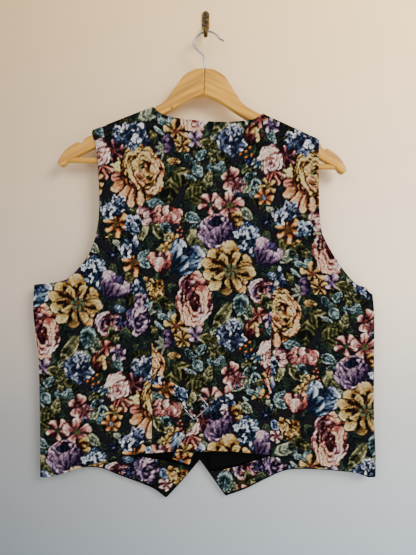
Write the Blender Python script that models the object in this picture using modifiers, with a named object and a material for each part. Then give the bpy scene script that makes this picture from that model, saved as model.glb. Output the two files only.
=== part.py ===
"""A tapestry waistcoat hung by its shoulders on a wooden hanger, whose wire hook hangs on a small wall hook.

The garment hangs flat with its back to the viewer, at -Y, and its buttoned fronts to the wall, at +Y. +Z is up
and +X is the wearer's right. The origin is the middle of the wall hook's back face, which lies on the wall. Sizes
are in millimetres and degrees until a mesh is written, in metres.
"""

import math

import bmesh
import bpy
import numpy as np
from mathutils import Matrix, Vector

MM = 0.001
GAP = 0.3  # left between neighbouring pieces

# Cloth thicknesses
WALL = 1.6  # tapestry with its lining
FACING_WALL = 1.0
STRAP_WALL = 2.0  # two layers of tapestry
FACING_SINK = WALL / 2 + GAP + FACING_WALL / 2 + 0.15  # from a front's middle to its facing's
LINING_SLACK = 1.3  # further inwards where the left front dips

# How the layers hang away from the wall: z, y of the back, y of the side seams, y of the fronts
HANG = np.array(
    [
        (-800, -20.5, -14.0, -7.5),
        (-690, -21.5, -14.0, -7.5),
        (-560, -24.0, -15.5, -7.5),
        (-400, -26.5, -17.5, -9.5),
        (-250, -29.2, -21.5, -13.0),
        (-140, -29.2, -22.0, -13.4),
    ]
)
SIDE_THINNING = 0.25  # share of the depth that is lost at the side seams
HALF_CHEST = 265.0
SEAM_VALLEY = 1.6  # how far the cinched back seams are drawn in
SEAM_VALLEY_REACH = 25.0
SIDE_ROLL = 11.0  # width over which a layer turns round to its side seam
SHOULDER_ROLL = 4.8
NECK_SLACK = 0.7  # by which the neckline leaves the shoulder earlier than the roll does
ROLL_START = 2.5  # straight bit of cloth beside a seam on a turned edge
ROLL_ANGLES = (0, 30, 60)

# Outline of the cloth as it hangs, as x, z
TIP = {"left": (-175, -185), "right": (175, -199)}
NECK = {"left": (-82, -148.6), "right": (88, -159)}
NECKLINE = [
    (-82, -148.6), (-68, -160), (-45, -166.5), (0, -171.5), (35, -172.5), (63, -170.5), (77, -167), (88, -159),
]
ARMHOLE_UPPER = {
    "left": [(-170, -350), (-165, -320), (-164, -285), (-166, -240), (-170, -208), (-174.5, -192)],
    "right": [(180, -345), (176.5, -322), (175, -290), (174, -250), (174, -225), (175, -206)],
}
ARMHOLE_LOWER = {
    "left": [(-267, -424), (-247, -422), (-227, -418.5), (-209, -410), (-190, -390), (-179, -373), (-170, -350)],
    "right": [(260, -438), (250, -429), (233, -422), (217, -405), (204, -387), (192, -368), (180, -345)],
}
SIDE = {
    "left": [(-259, -725), (-259, -635), (-261, -539), (-268.5, -467), (-267, -424)],
    "right": [(266, -725), (266, -689), (263, -613), (263, -482), (260, -438)],
}
BACK_SEAM = {
    "left": [(-85, -687), (-83, -600), (-85, -493), (-91, -432), (-103, -390)],
    "right": [(101, -690), (101, -600), (102, -493), (106, -425), (114, -390)],
}
BACK_SEAM_TOP = {
    "left": [(-103, -390), (-120, -363), (-144, -350), (-170, -350)],
    "right": [(114, -390), (127, -366), (150, -350), (180, -345)],
}
BACK_HEM = [(-85, -687), (-52, -684), (-4, -683.5), (30, -683), (68, -686), (101, -690)]
SIDE_HEM = {
    "left": [(-259, -725), (-221, -718), (-185, -706), (-147, -696), (-119, -690), (-85, -687)],
    "right": [(266, -725), (235, -718), (203, -712.5), (142, -708), (120, -701), (101, -690)],
}
FRONT_HEM = {
    "left": [(-259, -725), (-226, -721), (-193, -714), (-165, -716), (-138, -726), (-87, -744), (-63, -760)],
    "right": [(266, -725), (200, -719), (146, -717), (123, -720), (97, -731), (64, -747), (32, -758)],
}
FRONT_CUTAWAY = {
    "left": [(-63, -760), (-58, -758), (-10, -702), (2, -686)],
    "right": [(32, -758), (28, -755), (-10, -702), (-24, -686)],
}
FRONT_EDGE = {"left": [(2, -686), (2, -405)], "right": [(-24, -686), (-24, -405)]}
FRONT_NECK = {
    "left": [(2, -405), (-20, -345), (-50, -262), (-74, -190), (-82, -156)],
    "right": [(-24, -405), (4, -345), (45, -262), (78, -195), (88, -166)],
}
FACING_TOP = {
    "left": [(-240, -682), (-185, -672), (-125, -692), (-85, -700), (-45, -707), (-20, -713)],
    "right": [(245, -680), (180, -680), (120, -692), (85, -701), (52, -712), (6, -722)],
}
OVERLAP_START, OVERLAP_FULL = -62.0, -32.0  # where the under front dips behind the upper one
OVERLAP_DIP = 3.4

# Cells of each stretch of a pattern piece
ROWS_SIDE, ROWS_STEM = 13, 10
ROWS_YOKE = 8
ROWS_ARMHOLE = 12
COLUMNS_SHOULDER, COLUMNS_NECK, COLUMNS_WING = 5, 13, 3
NECK_SHARES = (0, 0.0045, 0.0125, 0.028, 0.13, 0.28, 0.43, 0.57, 0.72, 0.87, 0.972, 0.9875, 0.9955, 1)
COLUMNS_SIDE = 6
COLUMNS_FRONT = 9
ROWS_CUTAWAY, ROWS_EDGE = 4, 9

# Back straps. B is each bar of the buckle: 1 sewn to the left strap, 2 in the middle, 3 over the tail
BUCKLE_TURN = -37.0  # direction across the bars, from +X
BUCKLE_BAR_STEP = 12.0
BUCKLE_MIDDLE = (-14.6, -611.8)
BUCKLE_LIFT = (4.4, 5.4, 6.4)  # of each bar above the back's outer face
BUCKLE_LENGTH, BUCKLE_BAR, BUCKLE_PLATE = 37.0, 3.0, 2.0
WRAP_OUT, WRAP_UP = 3.4, 3.1  # from a bar's middle to a strap's that turns round it
WRAP_ANGLES = (0, 30, 60, 90, 120, 150, 180)
STRAP_COLUMNS = 4

BUTTON_RADIUS, BUTTON_DEPTH, BUTTON_COUNT = 9.0, 3.0, 5
BUTTON_X, BUTTON_TOP, BUTTON_STEP = -11.0, -414.0, 66.0

# The hanger, in its own frame, which is then tilted about the point where its wire rests
HANGER_TILT = 1.5
HANGER_PIVOT = (0.0, -30.0)
HANGER_Y, HANGER_DEPTH = -22.0, 12.0
HANGER_EDGE = 3.4
HANGER_TOP = [(0.15, -89), (18, -92), (31, -100), (40, -112), (49, -126), (60, -141), (74, -150.7)]
HANGER_NOTCH = [(182, -201.5), (186, -208), (189.5, -209.5), (192.5, -207.5)]
HANGER_TIP = [(200, -211.5), (210, -219), (217, -227.5), (222, -236), (223, -242), (218, -246), (212, -243.5)]
HANGER_UNDER = [(207, -237), (193, -229.5), (173, -219), (61, -161.5), (22, -138), (0.15, -130)]
BAR_RADIUS, BAR_Z, BAR_HALF = 4.3, -235.0, 215.0
WIRE_RADIUS = 1.4
WIRE = [  # x, z from the joint up, round the wall hook and out to the tip
    (0, -110), (0, -89), (-2.2, -69), (-10, -60.5), (-16.6, -54), (-18.7, -48.4), (-16.7, -43.6), (-11, -36),
    (-4.5, -31.2), (3, -29.3), (10.5, -30.6), (16.8, -34.4), (21.2, -39.4), (28.3, -43.5),
]

PLATE_HALF_WIDTH, PLATE_HALF_HEIGHT, PLATE_DEPTH = 5.8, 16.0, 2.5
ARM_RADIUS = 3.3
ARM = [  # y, z from the plate to the turned-up tip
    (-1.3, -9), (-4.5, -9.8), (-9, -15.5), (-12.5, -25),
    (-16.5, -31.9), (-22, -34.8), (-27.5, -32.8), (-30.8, -28.1),
]


def smooth(points, shares):
    """Points at these shares of the length of a Catmull-Rom curve through the given ones."""
    points = np.asarray(points, float)
    if len(points) == 2:
        return points[0] + np.outer(shares, points[1] - points[0])
    ends = np.vstack([2 * points[0] - points[1], points, 2 * points[-1] - points[-2]])
    fine = []
    for p0, p1, p2, p3 in zip(ends, ends[1:], ends[2:], ends[3:]):
        second = 2 * p0 - 5 * p1 + 4 * p2 - p3
        third = 3 * p1 - p0 - 3 * p2 + p3
        for t in np.arange(0, 1, 0.05):
            fine.append(0.5 * (2 * p1 + (p2 - p0) * t + second * t**2 + third * t**3))
    fine = np.array(fine + [points[-1]])
    length = np.r_[0, np.cumsum(np.linalg.norm(np.diff(fine, axis=0), axis=1))]
    at = np.asarray(shares) * length[-1]
    return np.stack([np.interp(at, length, fine[:, k]) for k in range(fine.shape[1])], axis=1)


def even(points, cells):
    return smooth(points, np.linspace(0, 1, cells + 1))


def chain(*stretches):
    """One edge from several (points, cells), with a vertex at each corner."""
    made = [even(points, cells) for points, cells in stretches]
    return np.vstack([made[0]] + [m[1:] for m in made[1:]])


def patch(left, right, bottom, top):
    """A grid of x, z between four edges, each row from left to right, by transfinite interpolation."""
    t = np.linspace(0, 1, len(left))[:, None, None]
    s = np.linspace(0, 1, len(bottom))[None, :, None]
    sides = (1 - s) * left[:, None] + s * right[:, None]
    ends = (1 - t) * bottom[None] + t * top[None]
    corners = (1 - t) * ((1 - s) * bottom[0] + s * bottom[-1]) + t * ((1 - s) * top[0] + s * top[-1])
    return sides + ends - corners


def level(z, column):
    return np.interp(z, HANG[:, 0], HANG[:, column])


def thinned(x, z):
    """Share of the full depth: less towards the side seams, below the hanger."""
    below = np.clip((-260 - z) / 140, 0, 1)
    return 1 - SIDE_THINNING * (x / HALF_CHEST) ** 2 * below


def seam_x(z, side):
    points = np.array(BACK_SEAM[side])
    return np.interp(z, points[:, 1], points[:, 0])


def back_y(x, z):
    """Middle of the back's wall."""
    middle = level(z, 2)
    flat = middle + (level(z, 1) - middle) * thinned(x, z)
    drawn = np.clip((-430 - z) / 120, 0, 1)
    for side in ("left", "right"):
        flat = flat + SEAM_VALLEY * drawn * np.exp(-(((x - seam_x(z, side)) / SEAM_VALLEY_REACH) ** 2))
    return flat


def front_y(x, z, side):
    """Middle of a front's wall. The left front passes behind the right one where they overlap."""
    middle = level(z, 2)
    flat = middle + (level(z, 3) - middle) * thinned(x, z)
    if side == "left":
        share = np.clip((x - OVERLAP_START) / (OVERLAP_FULL - OVERLAP_START), 0, 1)
        flat = flat - OVERLAP_DIP * share**2 * (3 - 2 * share)
    return flat


def with_y(grid, surface):
    x, z = grid[..., 0], grid[..., 1]
    return np.stack([x, surface(x, z), z], axis=-1)


def ridge(x, side):
    (x0, z0), (x1, z1) = TIP[side], NECK[side]
    return z0 + (x - x0) * (z1 - z0) / (x1 - x0)


def turned(edge, inner, middle, sewn, above=None):
    """Rows of points from a seam to the first row of the flat cloth. Sewn points follow a quarter ellipse to the
    seam, which lies at y = middle. Open ones stay in the cloth's own plane or, with the height of the ridge above
    them, on the same roll."""
    flat = inner[:, 1]
    out = np.sign(flat - middle)
    span = inner[:, [0, 2]] - edge
    made = []
    for k, angle in enumerate((None, *ROLL_ANGLES)):
        turn = math.radians(angle or 0)
        share = np.where(sewn, 1 - math.cos(turn), k / (len(ROLL_ANGLES) + 1))
        place = edge + span * share[:, None]
        rise = np.full(len(edge), math.sin(turn))
        if above is not None:
            fall = np.clip((above - place[:, 1] + NECK_SLACK) / SHOULDER_ROLL, 0, 1)
            rise = np.where(sewn, rise, np.sin(np.arccos(1 - fall)))
        else:
            rise = np.where(sewn, rise, 1.0)
        y = middle + out * ROLL_START + (flat - middle - out * ROLL_START) * rise
        if angle is None:
            y = np.where(sewn, middle + out * GAP / 2, y)
        made.append(np.stack([place[:, 0], y, place[:, 1]], axis=1))
    return np.array(made)


def collection(name):
    made = bpy.data.collections.new(name)
    bpy.context.scene.collection.children.link(made)
    return made


def material(name, colour, roughness, metallic=0.0):
    made = bpy.data.materials.new(name)
    made.use_nodes = True
    shader = made.node_tree.nodes["Principled BSDF"]
    shader.inputs["Base Color"].default_value = (*colour, 1)
    shader.inputs["Roughness"].default_value = roughness
    shader.inputs["Metallic"].default_value = metallic
    return made


def place(name, mesh, paint, parent=None):
    item = bpy.data.objects.new(name, mesh)
    PARTS.objects.link(item)
    item.data.materials.append(paint)
    item.parent = parent
    return item


def sheet(name, blocks, thickness, paint):
    """A cloth wall round the surface that these grids of points make together."""
    bm = bmesh.new()
    for points in blocks:
        rows, columns = points.shape[:2]
        verts = [bm.verts.new(p * MM) for p in points.reshape(-1, 3)]
        for i in range(rows - 1):
            for j in range(columns - 1):
                corners = (i, j), (i, j + 1), (i + 1, j + 1), (i + 1, j)
                bm.faces.new([verts[a * columns + b] for a, b in corners])
    bmesh.ops.remove_doubles(bm, verts=bm.verts, dist=1e-6)
    bmesh.ops.recalc_face_normals(bm, faces=bm.faces)
    mesh = bpy.data.meshes.new(name)
    bm.to_mesh(mesh)
    bm.free()
    mesh.shade_smooth()
    item = place(name, mesh, paint)
    wall = item.modifiers.new("wall", "SOLIDIFY")
    wall.thickness = thickness * MM
    wall.offset = 0
    return item


def inset(edge, by):
    """An edge moved along +X by half a seam's gap, or back with a negative value."""
    return edge + np.array([by, 0.0])


def back_centre():
    """The back's middle panel: a stem between the long seams and a yoke above it, turned over at the shoulders."""
    half = GAP / 2
    stem_left = inset(even(BACK_SEAM["left"], ROWS_STEM), half)
    stem_right = inset(even(BACK_SEAM["right"], ROWS_STEM), -half)
    middle_cells = 2 * COLUMNS_SHOULDER + COLUMNS_NECK - 2 * COLUMNS_WING
    join = even([stem_left[-1], stem_right[-1]], middle_cells)
    stem = patch(stem_left, stem_right, even(BACK_HEM, middle_cells), join)
    stem[0, 0], stem[0, -1] = stem_left[0], stem_right[0]
    wing_left = even(BACK_SEAM_TOP["left"], COLUMNS_WING)[::-1] + [half, half]
    wing_right = even(BACK_SEAM_TOP["right"], COLUMNS_WING) + [-half, half]
    wing_left[-1], wing_right[0] = join[0], join[-1]
    bottom = np.vstack([wing_left[:-1], join, wing_right[1:]])
    left = even(ARMHOLE_UPPER["left"], ROWS_YOKE)
    right = even(ARMHOLE_UPPER["right"], ROWS_YOKE)
    left[0], right[0] = bottom[0], bottom[-1]
    edge = np.vstack(
        [
            even([TIP["left"], NECK["left"]], COLUMNS_SHOULDER)[:-1],
            smooth(NECKLINE, NECK_SHARES),
            even([NECK["right"], TIP["right"]], COLUMNS_SHOULDER)[1:],
        ]
    )
    top = edge - [0, SHOULDER_ROLL]
    left[-1], right[-1] = top[0], top[-1]
    yoke = with_y(patch(left, right, bottom, top), back_y)
    columns = np.arange(len(edge))
    sewn = (columns <= COLUMNS_SHOULDER) | (columns >= COLUMNS_SHOULDER + COLUMNS_NECK)
    above = np.where(edge[:, 0] < 0, ridge(edge[:, 0], "left"), ridge(edge[:, 0], "right"))
    over = turned(edge, yoke[-1], level(edge[:, 1], 2), sewn, above)[::-1]
    yoke = np.concatenate([yoke, over])
    sheet("back_centre", [with_y(stem, back_y), yoke], WALL, TAPESTRY)


def back_side(side):
    """A back side panel, from the long seam round to the side seam, with the lower armhole along its top."""
    inward = 1 if side == "left" else -1
    seam = chain((BACK_SEAM[side], ROWS_STEM), (BACK_SEAM_TOP[side], COLUMNS_WING))
    seam = inset(seam, -inward * GAP / 2)
    seam[ROWS_STEM + 1 :] -= [0, GAP / 2]
    edge = even(SIDE[side], ROWS_SIDE)
    inner = inset(edge, inward * SIDE_ROLL)
    cells = COLUMNS_SIDE
    hem = even([inner[0], *SIDE_HEM[side][1:-1], seam[0]], cells)
    armhole = even([inner[-1], *ARMHOLE_LOWER[side][1:-1], seam[-1]], cells)
    flat = with_y(patch(inner, seam, hem, armhole), back_y)
    rolled = turned(edge, flat[:, 0], level(edge[:, 1], 2), np.full(len(edge), True))
    panel = np.concatenate([rolled.transpose(1, 0, 2), flat], axis=1)
    sheet(f"back_side_{side}", [panel], WALL, TAPESTRY)


def front(side):
    """A front, from the side seam and armhole to the buttoned edge and the V of the neck, with a pointed hem."""
    inward = 1 if side == "left" else -1
    armhole = [*ARMHOLE_LOWER[side][:-1], *ARMHOLE_UPPER[side]]
    edge = chain((SIDE[side], ROWS_SIDE), (armhole, ROWS_ARMHOLE))
    inner = inset(edge, inward * SIDE_ROLL)
    rows_neck = ROWS_SIDE + ROWS_ARMHOLE - ROWS_CUTAWAY - ROWS_EDGE
    cutaway = (FRONT_CUTAWAY[side], ROWS_CUTAWAY)
    middle = chain(cutaway, (FRONT_EDGE[side], ROWS_EDGE), (FRONT_NECK[side], rows_neck))
    hem = even([inner[0], *FRONT_HEM[side][1:]], COLUMNS_FRONT)
    top = even([(inner[-1][0], ridge(inner[-1][0], side)), NECK[side]], COLUMNS_FRONT) - [0, SHOULDER_ROLL]
    inner[-1] = top[0]
    middle[-1] = top[-1]
    surface = lambda x, z: front_y(x, z, side)
    flat = with_y(patch(inner, middle, hem, top), surface)
    sewn = np.arange(len(edge)) <= ROWS_SIDE
    rolled = turned(edge, flat[:, 0], level(edge[:, 1], 2), sewn)
    panel = np.concatenate([rolled.transpose(1, 0, 2), flat], axis=1)
    seam = np.stack([panel[-1, :, 0], ridge(panel[-1, :, 0], side)], axis=1)
    over = turned(seam, panel[-1], level(seam[:, 1], 2), np.full(len(seam), True))[::-1]
    sheet(f"front_{side}", [np.concatenate([panel, over])], WALL, TAPESTRY)


def inside(side):
    """The tapestry facing along a front's hem, and the black lining from there to the shoulder."""
    inward = 1 if side == "left" else -1
    surface = lambda x, z: front_y(x, z, side) - FACING_SINK
    point = np.array(FRONT_HEM[side][-1], float)
    top = even(FACING_TOP[side], 8)
    corner = np.array(FRONT_HEM[side][0]) + [1.6 * SIDE_ROLL * inward, 4]
    hem = even([corner, *FRONT_HEM[side][1:-1], point], 8) + [0, 2.5]
    left, right = even([hem[0], top[0]], 2), even([hem[-1], top[-1]], 2)
    sheet(f"facing_{side}", [with_y(patch(left, right, hem, top), surface)], FACING_WALL, TAPESTRY)
    bottom = top + [0, FACING_WALL + GAP]
    armhole = [*ARMHOLE_LOWER[side][1:-1], *ARMHOLE_UPPER[side][:-1]]
    outer = chain(([*SIDE[side][1:]], 7), (armhole, 9)) + [1.8 * SIDE_ROLL * inward, 0]
    outer[0] = bottom[0]
    edge = [(FRONT_EDGE[side][0][0] - 10 * inward, -600), (FRONT_EDGE[side][1][0] - 10 * inward, -405)]
    neck = [(x - 12 * inward, z) for x, z in FRONT_NECK[side][:-1]]
    middle = chain(([bottom[-1], *edge], 7), (neck, 9))
    cells = len(bottom) - 1
    shoulder = even([outer[-1], middle[-1]], cells)
    most = LINING_SLACK if side == "left" else 0.0
    slack = lambda x, z: surface(x, z) - most * np.clip((x - 2 * OVERLAP_START) / 60, 0, 1)
    lining = with_y(patch(outer, middle, bottom, shoulder), slack)
    sheet(f"lining_{side}", [lining], FACING_WALL, LINING)


def across():
    """The unit vector in x, z that crosses the buckle's bars, and the one that runs along them."""
    turn = math.radians(BUCKLE_TURN)
    return np.array([math.cos(turn), math.sin(turn)]), np.array([-math.sin(turn), math.cos(turn)])


def bar(number):
    """x and z of a bar's middle."""
    return np.array(BUCKLE_MIDDLE) + across()[0] * BUCKLE_BAR_STEP * (number - 2)


def along(number, by, lift, turn=None, width=25.0):
    """A strap section that lies this far across the buckle from one of its bars."""
    x, z = bar(number) + across()[0] * by
    return (x, z, lift, BUCKLE_TURN + 90 if turn is None else turn, width)


def wrapped(number, side, angles):
    """Strap sections round one bar."""
    lift = BUCKLE_LIFT[number - 1]
    turns = [math.radians(a) for a in angles]
    return [along(number, side * WRAP_OUT * math.sin(t), lift + WRAP_UP * math.cos(t)) for t in turns]


def strap(name, sections):
    """A flat strap through sections of x, z, lift above the back, direction of its width, and width."""
    shares = np.linspace(-0.5, 0.5, STRAP_COLUMNS + 1)
    rows = []
    for x, z, lift, turn, width in sections:
        way = np.array([math.cos(math.radians(turn)), math.sin(math.radians(turn))])
        points = np.array([x, z]) + np.outer(shares * width, way)
        y = back_y(points[:, 0], points[:, 1]) - WALL / 2 - lift
        rows.append(np.stack([points[:, 0], y, points[:, 1]], axis=1))
    sheet(name, [np.array(rows)], STRAP_WALL, TAPESTRY)


def straps():
    left = [(-81.5, -573, 1.6, 62, 25), (-70, -579, 1.6, 61, 25)]
    left += [(-57, -586, 1.8, 59, 25), (-46, -592, 3.0, 56, 25)]
    left += [along(1, -10, 5.8), along(1, -5, 7.0)]
    left += wrapped(1, 1, WRAP_ANGLES)
    left += [along(1, -5, 1.5), along(1, -9, 1.5)]
    strap("strap_left", left)
    right = [(99.5, -580, 1.6, 105, 24), (85, -584.5, 1.6, 106, 24)]
    right += [(70, -589.5, 1.6, 107, 24), (55, -594.5, 1.6, 108, 23)]
    right += [(40, -600, 1.6, 108, 22), (28, -605, 1.6, 102, 21), (17, -609.5, 1.6, 90, 21), (6, -614, 1.5, 72, 22)]
    right += [along(3, 2, 1.5, width=24), along(3, -4, 1.6), along(2, 5, 2.1)]
    right += wrapped(2, -1, WRAP_ANGLES[::-1])
    right += [along(2, 4, 7.2), along(2, 7.5, 4.9), along(3, -2, 3.9), along(3, 2, 3.9, 50, 26)]
    right += [(-3.5, -626, 4.4, 42, 27), (-6.5, -635, 4.4, 28, 27), (-11.5, -645, 3.8, 14, 27)]
    right += [(-17.5, -656, 3.0, 2, 27), (-24, -669, 2.4, -9, 28), (-31, -683, 2.2, -16, 28), (-39, -698, 2.2, -20, 28)]
    strap("strap_right", right)


def outline(name, loops, half_depth):
    """A flat plate with these closed loops of x, y as its edge and holes, made a mesh."""
    curve = bpy.data.curves.new(name, "CURVE")
    curve.dimensions = "2D"
    curve.fill_mode = "BOTH"
    curve.extrude = half_depth * MM
    for points in loops:
        spline = curve.splines.new("POLY")
        spline.points.add(len(points) - 1)
        for point, (x, y) in zip(spline.points, points):
            point.co = (x * MM, y * MM, 0, 1)
        spline.use_cyclic_u = True
    return as_mesh(curve, name)


def as_mesh(curve, name):
    """The closed mesh of a curve, with its caps welded on."""
    item = bpy.data.objects.new(name, curve)
    bpy.context.scene.collection.objects.link(item)
    graph = bpy.context.evaluated_depsgraph_get()
    mesh = bpy.data.meshes.new_from_object(item.evaluated_get(graph))
    bpy.data.objects.remove(item)
    bm = bmesh.new()
    bm.from_mesh(mesh)
    bmesh.ops.remove_doubles(bm, verts=bm.verts, dist=1e-6)
    bmesh.ops.recalc_face_normals(bm, faces=bm.faces)
    bm.to_mesh(mesh)
    bm.free()
    mesh.name = name
    return mesh


def rounded(half_width, half_height, radius, middle=(0.0, 0.0), steps=3):
    """A rectangle with round corners, as a loop of points."""
    made = []
    for quarter, (sx, sy) in enumerate(((1, 1), (-1, 1), (-1, -1), (1, -1))):
        for turn in np.linspace(90 * quarter, 90 * quarter + 90, steps + 1):
            x = sx * (half_width - radius) + radius * math.cos(math.radians(turn))
            y = sy * (half_height - radius) + radius * math.sin(math.radians(turn))
            made.append((middle[0] + x, middle[1] + y))
    return made


def wire(name, points, radius, count, sides=2):
    """A round bar along a smooth curve through points of x, y, z."""
    curve = bpy.data.curves.new(name, "CURVE")
    curve.dimensions = "3D"
    curve.bevel_depth = radius * MM
    curve.bevel_resolution = sides
    curve.use_fill_caps = True
    route = even(points, count)
    spline = curve.splines.new("POLY")
    spline.points.add(len(route) - 1)
    for point, place_ in zip(spline.points, route):
        point.co = (*(place_ * MM), 1)
    return as_mesh(curve, name)


def buckle():
    """A three-bar slide of metal plate, tipped up by the strap that passes under its last bar."""
    half = BUCKLE_BAR_STEP + BUCKLE_BAR / 2
    slot = (BUCKLE_BAR_STEP - BUCKLE_BAR) / 2
    loops = [rounded(half, BUCKLE_LENGTH / 2, 3.0)]
    for side in (-1, 1):
        loops.append(rounded(slot, BUCKLE_LENGTH / 2 - BUCKLE_BAR, 1.5, (side * BUCKLE_BAR_STEP / 2, 0)))
    item = place("strap_buckle", outline("strap_buckle", loops, BUCKLE_PLATE / 2), METAL)
    over, along_bar = across()
    rise = (BUCKLE_LIFT[2] - BUCKLE_LIFT[0]) / (2 * BUCKLE_BAR_STEP)
    first = Vector((over[0], -rise, over[1])).normalized()
    second = Vector((along_bar[0], 0, along_bar[1]))
    x, z = BUCKLE_MIDDLE
    y = float(back_y(np.array(x), np.array(z))) - WALL / 2 - BUCKLE_LIFT[1]
    turn = Matrix((first, second, first.cross(second))).transposed().to_4x4()
    item.matrix_world = Matrix.Translation(Vector((x, y, z)) * MM) @ turn


def buttons():
    """Round buttons on the left front, through the right front's edge, on the wall side."""
    for number in range(BUTTON_COUNT):
        z = BUTTON_TOP - BUTTON_STEP * number
        outer = float(front_y(np.array(BUTTON_X), np.array(z), "right")) + WALL / 2
        bm = bmesh.new()
        radius = BUTTON_RADIUS * MM
        depth = BUTTON_DEPTH * MM
        bmesh.ops.create_cone(bm, cap_ends=True, segments=20, radius1=radius, radius2=radius, depth=depth)
        mesh = bpy.data.meshes.new(f"button_{number + 1}")
        bm.to_mesh(mesh)
        bm.free()
        item = place(mesh.name, mesh, BUTTON)
        item.rotation_euler = (math.pi / 2, 0, 0)
        item.location = Vector((BUTTON_X, outer + GAP + BUTTON_DEPTH / 2, z)) * MM
        edge = item.modifiers.new("edge", "BEVEL")
        edge.width = 0.8 * MM
        edge.segments = 2


def cutter(name, mesh, parent):
    item = bpy.data.objects.new(name, mesh)
    CUTTERS.objects.link(item)
    item.hide_render = True
    item.display_type = "WIRE"
    item.parent = parent
    return item


def hanger():
    """Two arms of beech glued at the middle, a dowel let into both tips, and a bent wire hook."""
    frame = bpy.data.objects.new("hanger_frame", None)
    PARTS.objects.link(frame)
    pivot = Matrix.Translation(Vector((HANGER_PIVOT[0], 0, HANGER_PIVOT[1])) * MM)
    frame.matrix_world = pivot @ Matrix.Rotation(math.radians(HANGER_TILT), 4, "Y") @ pivot.inverted()
    bar_hole = [(-BAR_HALF - 1, HANGER_Y, BAR_Z), (BAR_HALF + 1, HANGER_Y, BAR_Z)]
    wire_hole = [(0, HANGER_Y, -111), (0, HANGER_Y, -80)]
    holes = [
        cutter("bar_hole", wire("bar_hole", bar_hole, BAR_RADIUS + 0.4, 1, sides=4), frame),
        cutter("wire_hole", wire("wire_hole", wire_hole, WIRE_RADIUS + 0.4, 1, sides=4), frame),
    ]
    half = [*HANGER_TOP, *HANGER_NOTCH, *even(HANGER_TIP, 10), *HANGER_UNDER]
    for side, sign in (("left", -1), ("right", 1)):
        loop = [(sign * x, z) for x, z in half][::sign]
        mesh = outline(f"hanger_arm_{side}", [loop], HANGER_DEPTH / 2)
        mesh.transform(Matrix.Translation((0, HANGER_Y * MM, 0)) @ Matrix.Rotation(math.pi / 2, 4, "X"))
        item = place(mesh.name, mesh, WOOD, frame)
        edge = item.modifiers.new("edge", "BEVEL")
        edge.width = HANGER_EDGE * MM
        edge.segments = 3
        edge.limit_method = "ANGLE"
        edge.angle_limit = math.radians(60)
        for hole in holes:
            cut = item.modifiers.new(hole.name, "BOOLEAN")
            cut.operation = "DIFFERENCE"
            cut.object = hole
    ends = [(-BAR_HALF, HANGER_Y, BAR_Z), (BAR_HALF, HANGER_Y, BAR_Z)]
    place("hanger_bar", wire("hanger_bar", ends, BAR_RADIUS, 1, sides=4), WOOD, frame)
    route = [(x, HANGER_Y, z) for x, z in WIRE]
    place("hanger_hook", wire("hanger_hook", route, WIRE_RADIUS, 34), METAL, frame)


def wall_hook():
    """A narrow brass coat hook: an oval plate with one round arm that turns up at its end."""
    oval = rounded(PLATE_HALF_WIDTH, PLATE_HALF_HEIGHT, PLATE_HALF_WIDTH, steps=6)
    plate = outline("wall_hook", [oval], PLATE_DEPTH / 2)
    plate.transform(Matrix.Translation((0, -PLATE_DEPTH / 2 * MM, 0)) @ Matrix.Rotation(math.pi / 2, 4, "X"))
    item = place("wall_hook", plate, BRASS)
    arm = cutter("wall_hook_arm", wire("wall_hook_arm", [(0, y, z) for y, z in ARM], ARM_RADIUS, 16), None)
    join = item.modifiers.new("arm", "BOOLEAN")
    join.operation = "UNION"
    join.object = arm


for existing in list(bpy.data.objects):
    bpy.data.objects.remove(existing)

PARTS = collection("waistcoat_on_hanger")
CUTTERS = collection("cutters")
TAPESTRY = material("tapestry", (0.10, 0.09, 0.10), 0.9)
LINING = material("lining", (0.012, 0.012, 0.014), 0.55)
METAL = material("metal", (0.75, 0.76, 0.78), 0.2, 1.0)
BUTTON = material("button", (0.03, 0.025, 0.02), 0.35)
WOOD = material("wood", (0.72, 0.50, 0.27), 0.4)
BRASS = material("brass", (0.33, 0.22, 0.08), 0.4, 0.9)

back_centre()
for part_side in ("left", "right"):
    back_side(part_side)
    front(part_side)
    inside(part_side)
straps()
buckle()
buttons()
hanger()
wall_hook()
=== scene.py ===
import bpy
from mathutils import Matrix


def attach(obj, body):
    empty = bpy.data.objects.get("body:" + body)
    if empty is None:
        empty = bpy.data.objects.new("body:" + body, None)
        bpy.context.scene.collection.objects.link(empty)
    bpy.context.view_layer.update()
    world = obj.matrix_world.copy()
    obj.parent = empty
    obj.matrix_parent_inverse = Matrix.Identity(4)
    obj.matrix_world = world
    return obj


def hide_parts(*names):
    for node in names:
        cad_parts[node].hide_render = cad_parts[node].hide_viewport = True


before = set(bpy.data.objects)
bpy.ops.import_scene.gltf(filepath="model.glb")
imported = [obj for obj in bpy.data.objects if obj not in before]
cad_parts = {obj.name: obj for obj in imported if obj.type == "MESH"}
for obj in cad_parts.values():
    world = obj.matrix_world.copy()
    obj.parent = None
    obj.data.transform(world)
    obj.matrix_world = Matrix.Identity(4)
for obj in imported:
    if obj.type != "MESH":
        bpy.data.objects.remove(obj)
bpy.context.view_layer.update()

import math

import bpy
import numpy as np
from mathutils import Vector

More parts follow.
